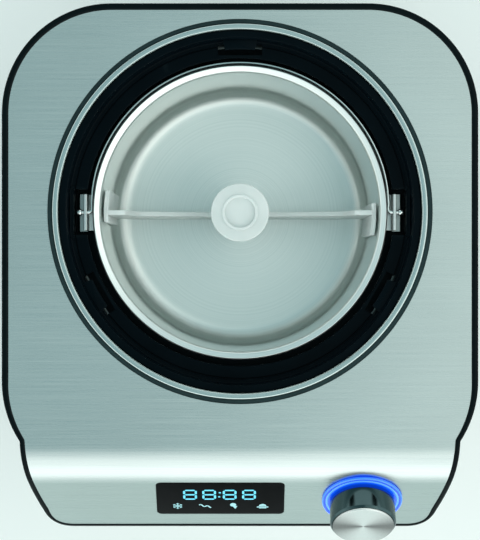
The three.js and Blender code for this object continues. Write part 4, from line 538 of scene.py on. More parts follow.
def noise(tree, scale, detail=3.0, roughness=0.55, source=None):
    """Noise in the piece's own space, with one scale or a different one along each axis."""
    scale = scale if isinstance(scale, tuple) else (scale, scale, scale)
    mapping = add_node(tree, "ShaderNodeMapping", {"Vector": source or own_space(tree), "Scale": scale})
    inputs = {"Vector": mapping.outputs["Vector"], "Scale": 1.0, "Detail": detail, "Roughness": roughness}
    return add_node(tree, "ShaderNodeTexNoise", inputs).outputs["Fac"]


def spread(tree, source, low, high, from_low=0.3, from_high=0.7):
    inputs = {"Value": source, "From Min": from_low, "From Max": from_high, "To Min": low, "To Max": high}
    return add_node(tree, "ShaderNodeMapRange", inputs).outputs["Result"]


def opaque(colour):
    return (*colour, 1) if isinstance(colour, tuple) else colour


def blend(tree, factor, a, b, kind="MIX"):
    """Mixes two colours, each given as three numbers or as a socket."""
    inputs = {"Factor": factor, "A": opaque(a), "B": opaque(b)}
    return add_node(tree, "ShaderNodeMix", inputs, data_type="RGBA", blend_type=kind).outputs["Result"]


def cloudy(tree, pattern, a, b):
    """A colour that wanders between two with a noise pattern."""
    return blend(tree, spread(tree, pattern, 0, 1), a, b)


def add_bump(tree, shader, height, strength, distance):
    inputs = {"Strength": strength, "Distance": distance * MM, "Height": height}
    bump = add_node(tree, "ShaderNodeBump", inputs)
    fill(tree, shader, {"Normal": bump.outputs["Normal"]})


def edge_lightening(tree, colour, edge_colour):
    """Lightens convex edges."""
    most = 0.35
    pointiness = add_node(tree, "ShaderNodeNewGeometry").outputs["Pointiness"]
    return blend(tree, spread(tree, pointiness, 0.0, most, 0.52, 0.62), colour, edge_colour)


def painted_panel_shade(tree, shade_tone):
    """Painted shade: white on the deck and on the bend, and a darker tone on the panel in front of them."""
    start = (AXIS.y - BEND_START - BEND_RADIUS * math.sin(TILT)) * MM
    fade = 0.0015
    split = add_node(tree, "ShaderNodeSeparateXYZ", {"Vector": own_space(tree)})
    front = spread(tree, split.outputs["Y"], 1, 0, start - fade, start + fade)
    return blend(tree, front, (1, 1, 1), shade_tone)


def brushed_metal(name, light, dark, rough, anisotropy, scale, panel_shade_tone=None):
    """Straight-brushed metal: fine lines along X in colour, roughness and height."""
    made, tree, shader = material(name)
    lines = noise(tree, scale, 4.0, 0.7)
    broad = noise(tree, 9, 2.0)
    colour = blend(tree, spread(tree, lines, 0, 1, 0.25, 0.75), dark, light)
    wash = cloudy(tree, broad, (0.93, 0.93, 0.93), (1, 1, 1))
    colour = blend(tree, 1.0, colour, wash, "MULTIPLY")
    # Painted shade: an optional tone darkens the panel in front of the bend.
    if panel_shade_tone:
        colour = blend(tree, 1.0, colour, painted_panel_shade(tree, panel_shade_tone), "MULTIPLY")
    fill(tree, shader, {
        "Metallic": 1.0,
        "Anisotropic": anisotropy,
        "Tangent": add_node(tree, "ShaderNodeCombineXYZ", {"X": 1.0}).outputs["Vector"],
        "Base Color": colour,
        "Roughness": spread(tree, lines, rough * 0.82, rough * 1.2, 0.2, 0.8),
    })
    add_bump(tree, shader, lines, 0.12, 0.03)
    return made


def around_axis(tree, centre, axis):
    """Unit vector running round an axis, and the distance from it, for turned faces."""
    offset = vector_maths(tree, "SUBTRACT", own_space(tree), centre)
    cross = vector_maths(tree, "CROSS_PRODUCT", axis, offset)
    return vector_maths(tree, "NORMALIZE", cross), vector_maths(tree, "LENGTH", cross)


def turned_metal(name, light, dark, rough, anisotropy, centre, axis, pitch, painted_reflection_wedges=False):
    """Metal finished on a lathe: fine rings round an axis. An optional painted reflection darkens two
    opposite sides as dark wedges.
    """
    made, tree, shader = material(name)
    around, radius = around_axis(tree, centre, axis)
    turn = {"vector_type": "VECTOR", "convert_from": "OBJECT", "convert_to": "WORLD"}
    tangent = add_node(tree, "ShaderNodeVectorTransform", {"Vector": around}, **turn).outputs["Vector"]
    along = add_node(tree, "ShaderNodeCombineXYZ", {"X": radius}).outputs["Vector"]
    rings = noise(tree, (pitch, 1, 1), 3.0, 0.7, along)
    colour = cloudy(tree, rings, dark, light)
    # Painted reflection: two opposite sides darkened as wedges, fixed to the piece.
    if painted_reflection_wedges:
        split = add_node(tree, "ShaderNodeSeparateXYZ", {"Vector": around})
        across = maths(tree, "ABSOLUTE", split.outputs["X"])
        colour = blend(tree, 1.0, colour, spread(tree, across, 0.28, 1.0, 0.1, 0.98), "MULTIPLY")
    fill(tree, shader, {
        "Metallic": 1.0,
        "Anisotropic": anisotropy,
        "Tangent": tangent,
        "Base Color": colour,
        "Roughness": spread(tree, rings, rough * 0.85, rough * 1.2),
    })
    add_bump(tree, shader, rings, 0.08, 0.02)
    return made


def moulded_plastic(name, base, rough, grain, grain_height, coat=0.0, edge_colour=None, shine=0.5):
    """Moulded plastic: fine grain, cloudy roughness and slightly lighter convex edges."""
    made, tree, shader = material(name)
    cloud = noise(tree, 38, 4.0)
    darker = tuple(c * 0.82 for c in base)
    lighter = tuple(min(1.0, c * 1.15) for c in base)
    colour = cloudy(tree, cloud, darker, lighter)
    if edge_colour:
        colour = edge_lightening(tree, colour, edge_colour)
    fill(tree, shader, {
        "Base Color": colour,
        "Roughness": spread(tree, cloud, rough * 0.85, min(1.0, rough * 1.2)),
        "Coat Weight": coat,
        "Coat Roughness": 0.06,
        "Specular IOR Level": shine,
    })
    add_bump(tree, shader, noise(tree, grain, 2.0), 0.25, grain_height)
    return made


def knob_side_material():
    made, tree, shader = material("knob_dark_gloss")
    cloud = noise(tree, 60)
    fill(tree, shader, {
        "Metallic": 1.0,
        "Coat Weight": 0.15,
        "Coat Roughness": 0.04,
        "Base Color": cloudy(tree, cloud, (0.035, 0.065, 0.07), (0.05, 0.085, 0.09)),
        "Roughness": spread(tree, cloud, 0.09, 0.15),
    })
    return made


def frosted_material():
    """Milky translucent plastic."""
    made, tree, shader = material("frosted_plastic")
    cloud = noise(tree, 30)
    fill(tree, shader, {
        "Base Color": cloudy(tree, cloud, (0.62, 0.67, 0.66), (0.72, 0.76, 0.75)),
        "Roughness": spread(tree, cloud, 0.36, 0.5),
        "Subsurface Weight": 0.5,
        "Subsurface Radius": (0.004, 0.0045, 0.0045),
        "Subsurface Scale": 1.0,
    })
    add_bump(tree, shader, noise(tree, 1400, 2.0), 0.15, 0.02)
    return made


RING_GLOW_HIGHLIGHT_STEPS = (  # from the knob's side out to the ring's rim; the paler band in the groove and the bright band near the rim are painted highlights
    (0.0, (0.002, 0.05, 0.60)),
    (0.36, (0.004, 0.10, 0.90)),
    (0.44, (0.10, 0.34, 0.66)),
    (0.60, (0.14, 0.42, 0.78)),
    (0.66, (0.002, 0.05, 0.80)),
    (0.84, (0.002, 0.08, 0.95)),
    (0.95, (0.03, 0.24, 1.0)),
    (1.0, (0.01, 0.12, 0.85)),
)


def light_ring_material():
    """Blue light guide with its own glow, paler in its groove and brightest near its rim; these paler and
    brightest bands are painted highlights.
    """
    made, tree, shader = material("light_guide_blue")
    radius = around_axis(tree, knob_centre, knob_axis)[1]
    reach = spread(tree, radius, 0, 1, (KNOB_RADIUS - 1) * MM, RING_RADIUS * MM)
    ramp = add_node(tree, "ShaderNodeValToRGB", {"Fac": reach})
    points = ramp.color_ramp.elements
    for point, (position, colour) in zip(points, (RING_GLOW_HIGHLIGHT_STEPS[0], RING_GLOW_HIGHLIGHT_STEPS[-1])):
        point.position = position
        point.color = opaque(colour)
    for position, colour in RING_GLOW_HIGHLIGHT_STEPS[1:-1]:
        points.new(position).color = opaque(colour)
    fill(tree, shader, {
        "Base Color": ramp.outputs["Color"],
        "Emission Color": ramp.outputs["Color"],
        "Emission Strength": 0.62,
        "Roughness": spread(tree, noise(tree, 300), 0.08, 0.2),
        "Coat Weight": 0.5,
        "Coat Roughness": 0.05,
    })
    return made


def glass_material():
    made, tree, shader = material("display_black_glass")
    cloud = noise(tree, 80)
    fill(tree, shader, {
        "Base Color": cloudy(tree, cloud, (0.0012, 0.0016, 0.002), (0.003, 0.0036, 0.0042)),
        "Roughness": spread(tree, cloud, 0.1, 0.16),
        "Specular IOR Level": 0.04,
    })
    return made


def lit_material(name, colour, strength):
    made, tree, shader = material(name)
    glow = cloudy(tree, noise(tree, 500, 2.0), tuple(c * 0.8 for c in colour), colour)
    fill(tree, shader, {
        "Emission Color": glow,
        "Base Color": glow,
        "Emission Strength": strength,
        "Roughness": 0.4,
    })
    return made


LONG_GRAIN = (14, 2400, 2400)
# The deck steel's last colour is painted shade, a darker tone for the panel in front of the bend.
STEEL = brushed_metal(
    "brushed_deck_steel", (0.64, 0.70, 0.69), (0.55, 0.61, 0.605), 0.28, 0.6, LONG_GRAIN, (0.72, 0.77, 0.76)
)
PANEL_STEEL = brushed_metal(
    "brushed_panel_steel", (0.60, 0.66, 0.65), (0.48, 0.54, 0.54), 0.3, 0.6, (14, 1200, 2400)
)
SMALL_STEEL = brushed_metal("small_steel", (0.86, 0.89, 0.88), (0.7, 0.73, 0.73), 0.34, 0.3, (400, 400, 2000))
COPPER = brushed_metal("copper_pipe", (0.78, 0.42, 0.27), (0.62, 0.30, 0.18), 0.28, 0.2, 300)

FRAME_BLACK = moulded_plastic(
    "frame_gloss_black", (0.002, 0.005, 0.006), 0.25, 1500, 0.012, 0.0, (0.02, 0.03, 0.03), 0.06
)
HOUSING_BLACK = moulded_plastic(
    "housing_black", (0.010, 0.012, 0.014), 0.42, 1500, 0.04, 0.0, (0.05, 0.05, 0.052), 0.3
)
COLLAR_BLACK = moulded_plastic(
    "collar_black", (0.001, 0.0036, 0.0055), 0.3, 1800, 0.03, 0.0, (0.012, 0.022, 0.026), 0.035
)
# Dark ring at the bottom of the gap round the lip: painted shade.
GROOVE_SHADE = moulded_plastic("painted_groove_shade", (0.022, 0.042, 0.045), 0.4, 1500, 0.02, 0.0, None, 0.1)
BLACK_STEEL = moulded_plastic(
    "black_enamel", (0.014, 0.015, 0.016), 0.3, 900, 0.04, 0.2, (0.08, 0.08, 0.08)
)
RUBBER = moulded_plastic("rubber_black", (0.02, 0.02, 0.021), 0.8, 900, 0.06)
GREY_PLASTIC = moulded_plastic("grey_plastic", (0.1, 0.115, 0.12), 0.5, 1200, 0.04)
NYLON = moulded_plastic("nylon_white", (0.78, 0.76, 0.7), 0.42, 1200, 0.02)
BOARD = moulded_plastic("board_green", (0.02, 0.11, 0.05), 0.4, 600, 0.05, 0.2)
FOAM = moulded_plastic("foam_cream", (0.72, 0.66, 0.45), 0.9, 500, 0.3)

bowl_axis = tuple(AXIS * MM)
knob_axis = tuple((KNOB_PLACE.to_3x3() @ Vector((0, 0, 1))).normalized())
knob_centre = tuple(put(KNOB_PLACE @ Vector((0, 0, 0))))


def turned_about_bowl(name, light, dark, rough, anisotropy, pitch):
    return turned_metal(name, light, dark, rough, anisotropy, bowl_axis, (0, 0, 1), pitch)


LIP_STEEL = turned_about_bowl("turned_lip_steel", (0.66, 0.74, 0.73), (0.52, 0.6, 0.6), 0.2, 0.5, 1600)
BOWL_METAL = turned_about_bowl("bowl_aluminium", (0.92, 0.95, 0.93), (0.78, 0.83, 0.81), 0.33, 0.5, 900)
WELL_METAL = turned_about_bowl("well_aluminium", (0.66, 0.72, 0.71), (0.5, 0.56, 0.56), 0.36, 0.3, 900)
WIRE_STEEL = turned_about_bowl("wire_steel", (0.82, 0.88, 0.87), (0.66, 0.72, 0.72), 0.16, 0.0, 700)
# The knob face wears painted reflection wedges, two dark opposite sides.
KNOB_FACE = turned_metal(
    "knob_turned_face", (0.74, 0.77, 0.76), (0.62, 0.66, 0.65), 0.26, 0.9, knob_centre, knob_axis, 3200, True
)
KNOB_SIDE = knob_side_material()
FROSTED = frosted_material()
LIGHT_RING = light_ring_material()
GLASS = glass_material()
SEGMENT_LIT = lit_material("segment_cyan", (0.10, 0.50, 0.66), 0.85)
ICON_LIT = lit_material("icon_pale", (0.30, 0.56, 0.60), 0.5)


# ---------- housing ----------


def make_console_frame():
    bead_proud = 0.55
    under = 1.6

    def section(_i, point, normal):
        width = band_width(point)
        rows = []
        bottom = nose_bottom(point[1])

        def height(inset):
            return deck_height(point[1] + normal.y * inset)

        rows.append((0.0, bottom + 0.8))
        rows.append((0.0, height(0) - 1.2))
        for k in range(9):
            t = math.pi * k / 8
            inset = width / 2 * (1 - math.cos(t))
            rows.append((inset, height(inset) - 0.4 + (bead_proud + 0.4) * math.sin(t) ** 0.7))
        rows.append((width, height(width) - under))
        rows.append((width + 2.5, height(width + 2.5) - under - 0.4))
        rows.append((width + 2.5, max(bottom + 3, height(width + 2.5) - 9)))
        rows.append((3.0, bottom + 3))
        rows.append((3.0, bottom))
        rows.append((0.8, bottom))
        return rows

    frame_piece = loft("top_frame", top_outline(), section, angle=50)
    dress(frame_piece, FRAME_BLACK, "machine", "frame_black", "console_frame")

    outline = top_outline()
    start = -FRONT - 0.01
    slope = [(x * 0.985, y * 0.995, nose_bottom(y) + 0.4) for x, y in outline if y <= start]
    floor_piece = prism("nose_underside", slope, [(x, y, z + 2) for x, y, z in slope])
    dress(floor_piece, FRAME_BLACK, "machine", "frame_black")


def deck_region(depth, past):
    """Side outline of all that lies under the deck's face at a depth."""
    radius = BEND_RADIUS - depth
    centre_z = DECK - BEND_RADIUS
    out = [(REAR + past, 200), (REAR + past, DECK - depth), (-BEND_START, DECK - depth)]
    for k in range(1, 41):
        t = TILT * k / 40
        out.append((-BEND_START - radius * math.sin(t), centre_z + radius * math.cos(t)))
    end_y, end_z = out[-1]
    run = PANEL_LENGTH + past
    out.append((end_y - run * math.cos(TILT), end_z - run * math.sin(TILT)))
    out.append((out[-1][0], 200))
    return out[::-1]


def make_deck():
    outline = top_outline()
    normals = inward(outline)
    edge = []
    for point, normal in zip(outline, normals):
        inset = band_width(point) + 0.05
        edge.append((point[0] + normal.x * inset, point[1] + normal.y * inset))
    deck = plate("deck_sheet", edge, 250, DECK + 20, bevel=0)
    combine(deck, [side_prism("under_face", deck_region(0, 12))], "INTERSECT")
    cutters = [side_prism("under_sheet", deck_region(SHEET, 12))]
    cutters.append(lathe("mouth_cut", [(0, 250), (LIP_OUTER - 0.6, 250), (LIP_OUTER - 0.6, 400), (0, 400)]))
    window = rounded_rectangle(WINDOW_WIDTH + 0.4, WINDOW_HEIGHT + 0.4, 3.2)
    cutters.append(plate("window_cut", window, -15, 15, 0, WINDOW_PLACE))
    ring = RING_RADIUS - 1
    cutters.append(lathe("ring_cut", [(0, -12), (ring, -12), (ring, 12), (0, 12)], KNOB_PLACE, 96))
    combine(deck, cutters)
    crease(deck, 20)
    dress(deck, STEEL, "machine", "deck_steel", "deck_cover")

    top = DECK + LIP_TOP
    foot = LIP_OUTER - 2.9
    crown = [(foot - 0.4, DECK + 1.9), (112.1, top), (MOUTH + 0.7, top - 0.15), (MOUTH, top - 0.9)]
    crown = fillet(crown, [1.2, 0.6, 0.4, 0], 5)
    under = DECK - SHEET
    hollow = DECK - 0.3
    profile = [(foot, under), (foot, DECK + 0.2)] + crown
    profile += [(MOUTH, under), (MOUTH + 1, under), (MOUTH + 1.2, hollow)]
    profile += [(foot - 1.2, hollow), (foot - 1, under)]
    lip = lathe("mouth_lip", profile, steps=256, angle=50)
    # A dark ring in the gap between the lip and the deck stands for the gap's shade: painted shade.
    edge = LIP_OUTER - 0.62
    groove_low = DECK - 1.1
    groove_high = DECK - 0.75
    groove_foot = foot + 0.02
    section = [(groove_foot, groove_low), (edge, groove_low), (edge, groove_high), (groove_foot, groove_high)]
    groove_shade = lathe("lip_groove_shade", fillet(section, 0.1, 2), steps=256)
    dress(groove_shade, GROOVE_SHADE, "machine", "frame_black")
    dress(lip, LIP_STEEL, "machine", "deck_steel")


VENTS = 6
VENT_WIDTH = 6
VENT_HEIGHT = 56
VENT_PITCH = 17
VENT_Z = 75
LOUVRES = 9
LOUVRE_PITCH = 13
LOUVRE_LENGTH = 84


def make_shell():
    low, high = shell_low.z, shell_high.z

    def section(_i, _p, _n):
        edge = 0.8
        rows = [(3.0, low), (edge, low), (0.25, low + 0.25), (0, low + edge)]
        rows += [(0, high - edge), (0.25, high - 0.25), (edge, high), (3.0, high)]
        return rows

    shell = loft("outer_shell_skin", body_outline(), section)
    middle = (REAR - FRONT) / 2
    cutters = []
    vent = rounded_rectangle(VENT_WIDTH, VENT_HEIGHT, VENT_WIDTH / 2 - 0.01, 8)
    through = HALF_WIDTH + 10
    for i in range(VENTS):
        place = Matrix.Translation((0, middle + (i - (VENTS - 1) / 2) * VENT_PITCH, VENT_Z))
        place = place @ rotation(90, "Z") @ rotation(90, "X")
        cutters.append(plate("vent", vent, -through, through, 0, place))
    cover_size, cover = extent("rear_vent_cover")
    width = cover_size.x + 2 * GAP
    height = cover_size.z + 2 * GAP
    cutters.append(block("cover_recess", (width, 2 * 1.9, height), (cover.x, REAR, cover.z)))
    cutters.append(block("cover_opening", (width - 8, 20, height - 8), (cover.x, REAR, cover.z)))
    panel_size, panel = extent("front_panel")
    recess = (panel_size.x + 2 * GAP, 2.6, panel_size.z + 2 * GAP)
    cutters.append(block("panel_recess", recess, (0, -FRONT, panel.z)))
    combine(shell, cutters)
    crease(shell, 25)
    dress(shell, HOUSING_BLACK, "machine", "housing_black", "outer_shell")

    place = Matrix.Translation((0, -FRONT, panel.z)) @ rotation(90, "X")
    outline = rounded_rectangle(panel_size.x, panel_size.z, 2.5)
    sheet = plate("front_panel_sheet", outline, -1.0, 0, 0.35, place)
    dress(sheet, PANEL_STEEL, "machine", "panel_steel", "front_panel")


def make_rear_cover():
    size, centre = extent("rear_vent_cover")
    face = rear_place(centre)
    cover = plate("rear_cover_plate", rounded_rectangle(size.x, size.z, 3), -1.6, 0, 0.4, face)
    lines = [(i - (LOUVRES - 1) / 2) * LOUVRE_PITCH for i in range(LOUVRES)]
    cutters = []
    for height in lines:
        slot_outline = rounded_rectangle(LOUVRE_LENGTH, 5.5, 2.7, 6, 0, height)
        cutters.append(plate("slot_cut", slot_outline, -8, 8, 0, face))
    screw_x = size.x / 2 + GAP - 12
    screw_z = size.z / 2 + GAP - 12
    hole = [(0, -8), (1.9, -8), (1.9, 8), (0, 8)]
    for x in (-screw_x, screw_x):
        for z in (-screw_z, screw_z):
            cutters.append(lathe("hole_cut", hole, face @ Matrix.Translation((x, z, 0)), 24))
    combine(cover, cutters)
    crease(cover, 30)
    dress(cover, HOUSING_BLACK, "machine", "housing_black", "rear_vent_cover")
    fin_outline = [(-2.6, -3.4), (-1.6, -3.4), (2.6, -0.2), (1.6, -0.2)]
    faces = [(0, 1, 2, 3), (7, 6, 5, 4), (0, 4, 5, 1), (1, 5, 6, 2), (2, 6, 7, 3), (3, 7, 4, 0)]
    for i, height in enumerate(lines):
        verts = []
        for x in (-LOUVRE_LENGTH / 2, LOUVRE_LENGTH / 2):
            verts += [(x, height + a, b) for a, b in fin_outline]
        fin = solid("cover_louvre_%d" % (i + 1), verts, faces, face)
        round_edges(fin, 0.25)
        dress(fin, HOUSING_BLACK, "machine", "housing_black")


def make_tray_and_feet():
    low, high = tray_low.z, tray_high.z

    def section(_i, _p, _n):
        rows = [(3.0, high), (3.0, low + 3)]
        rows += [(3.0, low + 0.01), (2.0, low), (1.0, low + 0.15), (0.3, low + 0.8), (0, low + 2.2)]
        rows += [(0, high - 0.6), (0.2, high - 0.2), (0.6, high)]
        return rows

    tray = loft("tray_wall", body_outline(), section)
    dress(tray, HOUSING_BLACK, "machine", "housing_black")
    floor_piece = plate("tray_floor", body_outline(2.9), low, low + 3, 0.2)
    cutters = []
    for i in range(5):
        slot_outline = rounded_rectangle(7, 60, 3.4, 6, 20 + i * 16, 40)
        cutters.append(plate("slot_cut", slot_outline, low - 10, low + 20, 0))
    combine(floor_piece, cutters)
    crease(floor_piece)
    dress(floor_piece, HOUSING_BLACK, "machine", "housing_black", "base_tray")
    for corner in ("front_left", "front_right", "rear_left", "rear_right"):
        centre = extent("foot_" + corner)[1]
        sole = [(0, 0.7), (5, 0.7), (5.6, 0), (9.8, 0), (10.9, 0.7), (11.4, 2.4), (12.6, 7.2), (12.2, 8.0)]
        peg = [(4, 8.0), (4, 11), (0, 11)]
        foot = lathe("rubber_foot_" + corner, sole + peg, steps=48, centre=centre)
        dress(foot, RUBBER, "machine", "rubber_black", "foot_" + corner)


def make_screws_and_gland():
    for i in range(1, 5):
        node = "cover_screw_%d" % i
        place = rear_place(extent(node)[1])
        profile = [(0, -8), (1.5, -8), (1.5, 0.3), (3.1, 0.3), (3.1, 0.7), (2.7, 1.3), (1.8, 1.65), (0, 1.75)]
        screw = lathe("pan_screw_%d" % i, profile, place, 40)
        cross = [block("cross", (3.4, 0.7, 2), (0, 0, 1.9), turn, place) for turn in (0, 90)]
        combine(screw, cross)
        crease(screw)
        dress(screw, SMALL_STEEL, "machine", "small_steel", node)
    place = rear_place(extent("cord_gland")[1])
    corners = [(4, -12), (7, -12), (7, 0), (9.8, 0.2), (9.8, 2), (9.2, 3.2), (9.2, 4.6), (8, 6.8), (4, 6.8)]
    gland = lathe("gland_collar", fillet(corners, 0.5), place, 64)
    dress(gland, RUBBER, "machine", "rubber_black", "cord_gland")


# ---------- mouth, well and bowl ----------


def make_collar():
    wall_top = DECK - 0.3
    outer = COLLAR_WALL + 3
    flange = 117.5
    neck = MOUTH - 0.35
    rill = LEDGE - 0.7
    corners = [
        (LEDGE_INNER, LEDGE - 3), (POCKET_OUT, LEDGE - 3), (POCKET_OUT, collar_low.z), (outer, collar_low.z),
        (outer, DECK - 5), (flange, DECK - 5), (flange, DECK - 1.6), (neck, DECK - 1.6), (neck, wall_top),
        (COLLAR_WALL + 0.7, wall_top), (COLLAR_WALL, DECK - 2.4), (COLLAR_WALL, LEDGE + 0.1),
        (101.9, LEDGE), (101.6, rill), (100.9, rill), (100.6, LEDGE), (LEDGE_INNER, LEDGE),
    ]
    radii = [0.2, 0, 0, 0.2, 0, 0, 0, 0, 0.5, 0.5, 0.8, 0.9, 0.1, 0.2, 0.2, 0.1, 0.6]
    collar = lathe("mouth_collar", fillet(corners, radii, 4), steps=240)
    cutters = []
    for angle in CATCH_ANGLES:
        cutters.append(block("catch_gap", (6.5, 27, 40), (98.4, 0, LEDGE), angle))
    for side in (0, 180):
        outline = rounded_rectangle(POCKET_OUT - POCKET_IN, 2 * POCKET_HALF, 1.2, 5, POCKET_MIDDLE)
        cutters.append(plate("pocket_cut", outline, LEDGE - 8, LEDGE + 8, 0, rotation(side, "Z")))
    combine(collar, cutters)
    crease(collar, 28)
    dress(collar, COLLAR_BLACK, "machine", "collar_black", "well_collar")
    reach = arc(0, 0, COLLAR_WALL + 0.8, -5.8, 5.8, 10) + arc(0, 0, 98, 5.4, -5.4, 10)
    outline = fillet(clean_outline(reach), 0.6, 3)
    for i, angle in enumerate(CATCH_ANGLES):
        name = "catch_%d" % (i + 1)
        catch = plate(name, outline, LEDGE + 6, LEDGE + 9, 0.5, rotation(angle, "Z"), bottom_bevel=0.3)
        dress(catch, COLLAR_BLACK, "machine", "collar_black")
    size = (POCKET_OUT - POCKET_IN + 2, 2 * POCKET_HALF + 3)
    wide = rounded_rectangle(*size, 2.2, 6, POCKET_MIDDLE + 0.9)
    keep = [(x, y, LEDGE + 0.2) for x, y in wide if x > LEDGE_INNER + 0.6]
    path = sorted(keep, key=lambda p: math.atan2(p[1], p[0] - 92))
    for i, angle in enumerate((0, 180)):
        bead = tube("pocket_bead_%d" % (i + 1), path, 1.0, rotation(angle, "Z"), 12)
        dress(bead, COLLAR_BLACK, "machine", "collar_black")


def make_well():
    low, high = well_low.z, well_high.z
    wall = 1.2
    inner = BOWL_RADIUS + 1.1
    outer = inner + wall
    flange = POCKET_OUT + 2.6
    hole = 8.6
    corners = [
        (hole, low), (outer, low), (outer, high - wall), (flange, high - wall), (flange, high),
        (inner, high), (inner, low + wall), (hole, low + wall),
    ]
    well = lathe("well_cup", fillet(corners, [0, 2, 1.5, 0.3, 0.3, 1.6, 1.8, 0], 5), steps=160)
    dress(well, WELL_METAL, "machine", "well_metal", "cooling_well")
    # A dark sheet on the flange is painted shade in the pockets; the cuts leave the flange's bright part
    # showing.
    sheet = [(90.2, high + 0.01), (101.4, high + 0.01), (101.4, high + 0.22), (90.2, high + 0.22)]
    flange_shade = lathe("well_flange_shade", sheet, steps=200)
    size = (SEAT_OUT - SEAT_IN, 2 * SEAT_HALF, 4)
    centre = ((SEAT_IN + SEAT_OUT) / 2, 0, high)
    combine(flange_shade, [block("seat_cut", size, centre, turn) for turn in (0, 180)])
    dress(flange_shade, COLLAR_BLACK, "machine", "collar_black")


def make_bowl():
    inner = BOWL_RADIUS - BOWL_WALL
    corners = [
        (6.5, BOWL_BOTTOM), (BOWL_RADIUS, BOWL_BOTTOM), (BOWL_RADIUS, RIM - 2.7), (RIM_RADIUS, RIM - 2.8),
        (RIM_RADIUS, RIM - 0.7), (RIM_RADIUS - 0.9, RIM + 0.05), (inner + 0.9, RIM - 1.0), (inner, RIM - 2.2),
        (inner, BOWL_BOTTOM + BOWL_WALL), (9.6, BOWL_BOTTOM + BOWL_WALL), (9.2, TUBE_TOP), (6.5, TUBE_TOP),
    ]
    radii = [0, 13.5, 0.8, 0.5, 0.4, 0.5, 0.8, 1.0, 13, 3, 1.2, 0.6]
    bowl = lathe("bowl_shell", fillet(corners, radii, 8), steps=240, angle=45)
    dress(bowl, BOWL_METAL, "bowl", "bowl_metal", "bowl")
    thick = 2.0
    hole = Matrix.Translation((0, 0, BAIL_Z)) @ rotation(90, "Y")
    for name, side in (("right", 0), ("left", 180)):
        node = "bowl_lug_" + name
        spin = rotation(side, "Z")
        low, high = local_box(node)
        start, end = sorted((abs(low.x), abs(high.x)))
        face = end - thick
        tread = low.z + thick
        corners = [(start, low.z), (end, low.z), (end, high.z), (face, high.z), (face, tread), (start, tread)]
        outline = fillet(corners, [0.2, 2.6, 0.5, 0.5, 0.9, 0.2], 5)
        turn = spin @ rotation(90, "X")
        strap = plate("lug_strap_" + name, outline, -11, 11, 0.35, turn, bottom_bevel=0.35)
        cut = lathe("hole_cut", [(0, 80), (1.65, 80), (1.65, 110), (0, 110)], spin @ hole, 32)
        combine(strap, [cut])
        crease(strap)
        dress(strap, SMALL_STEEL, "bowl", "small_steel", node)


def make_bail():
    end = 96.6
    points = [(end, 0, 0), (93.6, 0, 0)]
    points += [(91.6, 0.15, 0), (90.6, 0.7, 0), (90.15, 1.6, 0), (90.1, 3.0, 0), (90.35, 5.0, 0)]
    steps = 60
    for k in range(3, steps - 2):
        angle = math.pi * k / steps
        ease = min(1.0, (k - 2) / 4, (steps - 2 - k) / 4)
        radius = BAIL_RADIUS - 0.5 * (1 - ease)
        points.append((radius * math.cos(angle), radius * math.sin(angle), 0))
    points += [(-x, y, z) for x, y, z in reversed(points[:7])]
    place = Matrix.Translation((0, 0, BAIL_Z))
    wire = tube("bail_wire", points, WIRE, place, 16)
    dress(wire, WIRE_STEEL, "bail", "wire_steel", "bail_handle")
    ball = [(0, 0), (1.9, 0.2), (2.15, 1.4), (2.0, 2.9), (1.2, 3.6), (0, 3.7)]
    profile = fillet(ball, [0, 0.6, 1, 0.8, 0.6, 0], 4)
    for name, side in (("right", 1), ("left", -1)):
        tip = Matrix.Translation((side * (end - 0.4), 0, 0)) @ rotation(90 * side, "Y")
        head = lathe("bail_ball_" + name, profile, place @ tip, 36)
        dress(head, WIRE_STEEL, "bail", "wire_steel")


def make_paddle():
    top = paddle_high.z - 1
    bottom = paddle_low.z
    roof = local_box("drive_shaft")[1].z + 0.5
    profile = fillet(
        [
            (11.3, bottom), (14.3, bottom), (13.6, top - 9), (17.8, top - 3.6), (17.8, top), (10.9, top),
            (10.9, top + 0.9), (9.3, top + 0.9), (9.3, top - 0.9), (0, top - 0.9), (0, roof), (4.7, roof),
            (4.7, top - 44), (11.3, top - 44),
        ],
        [0.3, 0.5, 2, 1, 0.9, 0.3, 0.4, 0.4, 0.4, 0, 0, 0, 0, 0], 4,
    )
    hub = lathe("paddle_hub", profile, steps=96)
    dress(hub, FROSTED, "paddle", "paddle_frosted", "paddle")
    reach = 83.2
    upper = top - 2
    for name, side in (("right", 0), ("left", 180)):
        outer = reach - 2
        outline = [
            (13, bottom), (outer - 13, bottom), (outer, bottom + 13), (outer, upper), (outer - 11, upper),
            (outer - 18, upper - 30), (19, upper - 44), (13, upper - 40),
        ]
        blade_outline = fillet(outline, [0, 6, 6, 1, 4, 14, 5, 0], 6)
        spin = rotation(side, "Z")
        turn = spin @ rotation(90, "X")
        blade = plate("paddle_blade_" + name, blade_outline, -1.45, 1.45, 0.5, turn, bottom_bevel=0.5)
        cutters = []
        near = 23
        far = outer - 14
        for low_z, high_z in ((bottom + 12, bottom + 34), (bottom + 42, bottom + 60)):
            hole = [(near, low_z), (far, low_z + 4), (far, high_z), (near, high_z - 4)]
            cutters.append(plate("window_cut", fillet(hole, 5, 6), -5, 5, 0, turn))
        combine(blade, cutters)
        crease(blade)
        dress(blade, FROSTED, "paddle", "paddle_frosted")
        edge = arc(0, 0, reach, -9.7, 4.1, 16) + arc(0, 0, reach - 2.6, 4.1, -9.7, 16)
        edge = fillet(clean_outline(edge), 0.7, 3)
        wiper = plate("paddle_scraper_" + name, edge, bottom + 13, upper, 0.6, spin, bottom_bevel=0.6)
        dress(wiper, FROSTED, "paddle", "paddle_frosted")


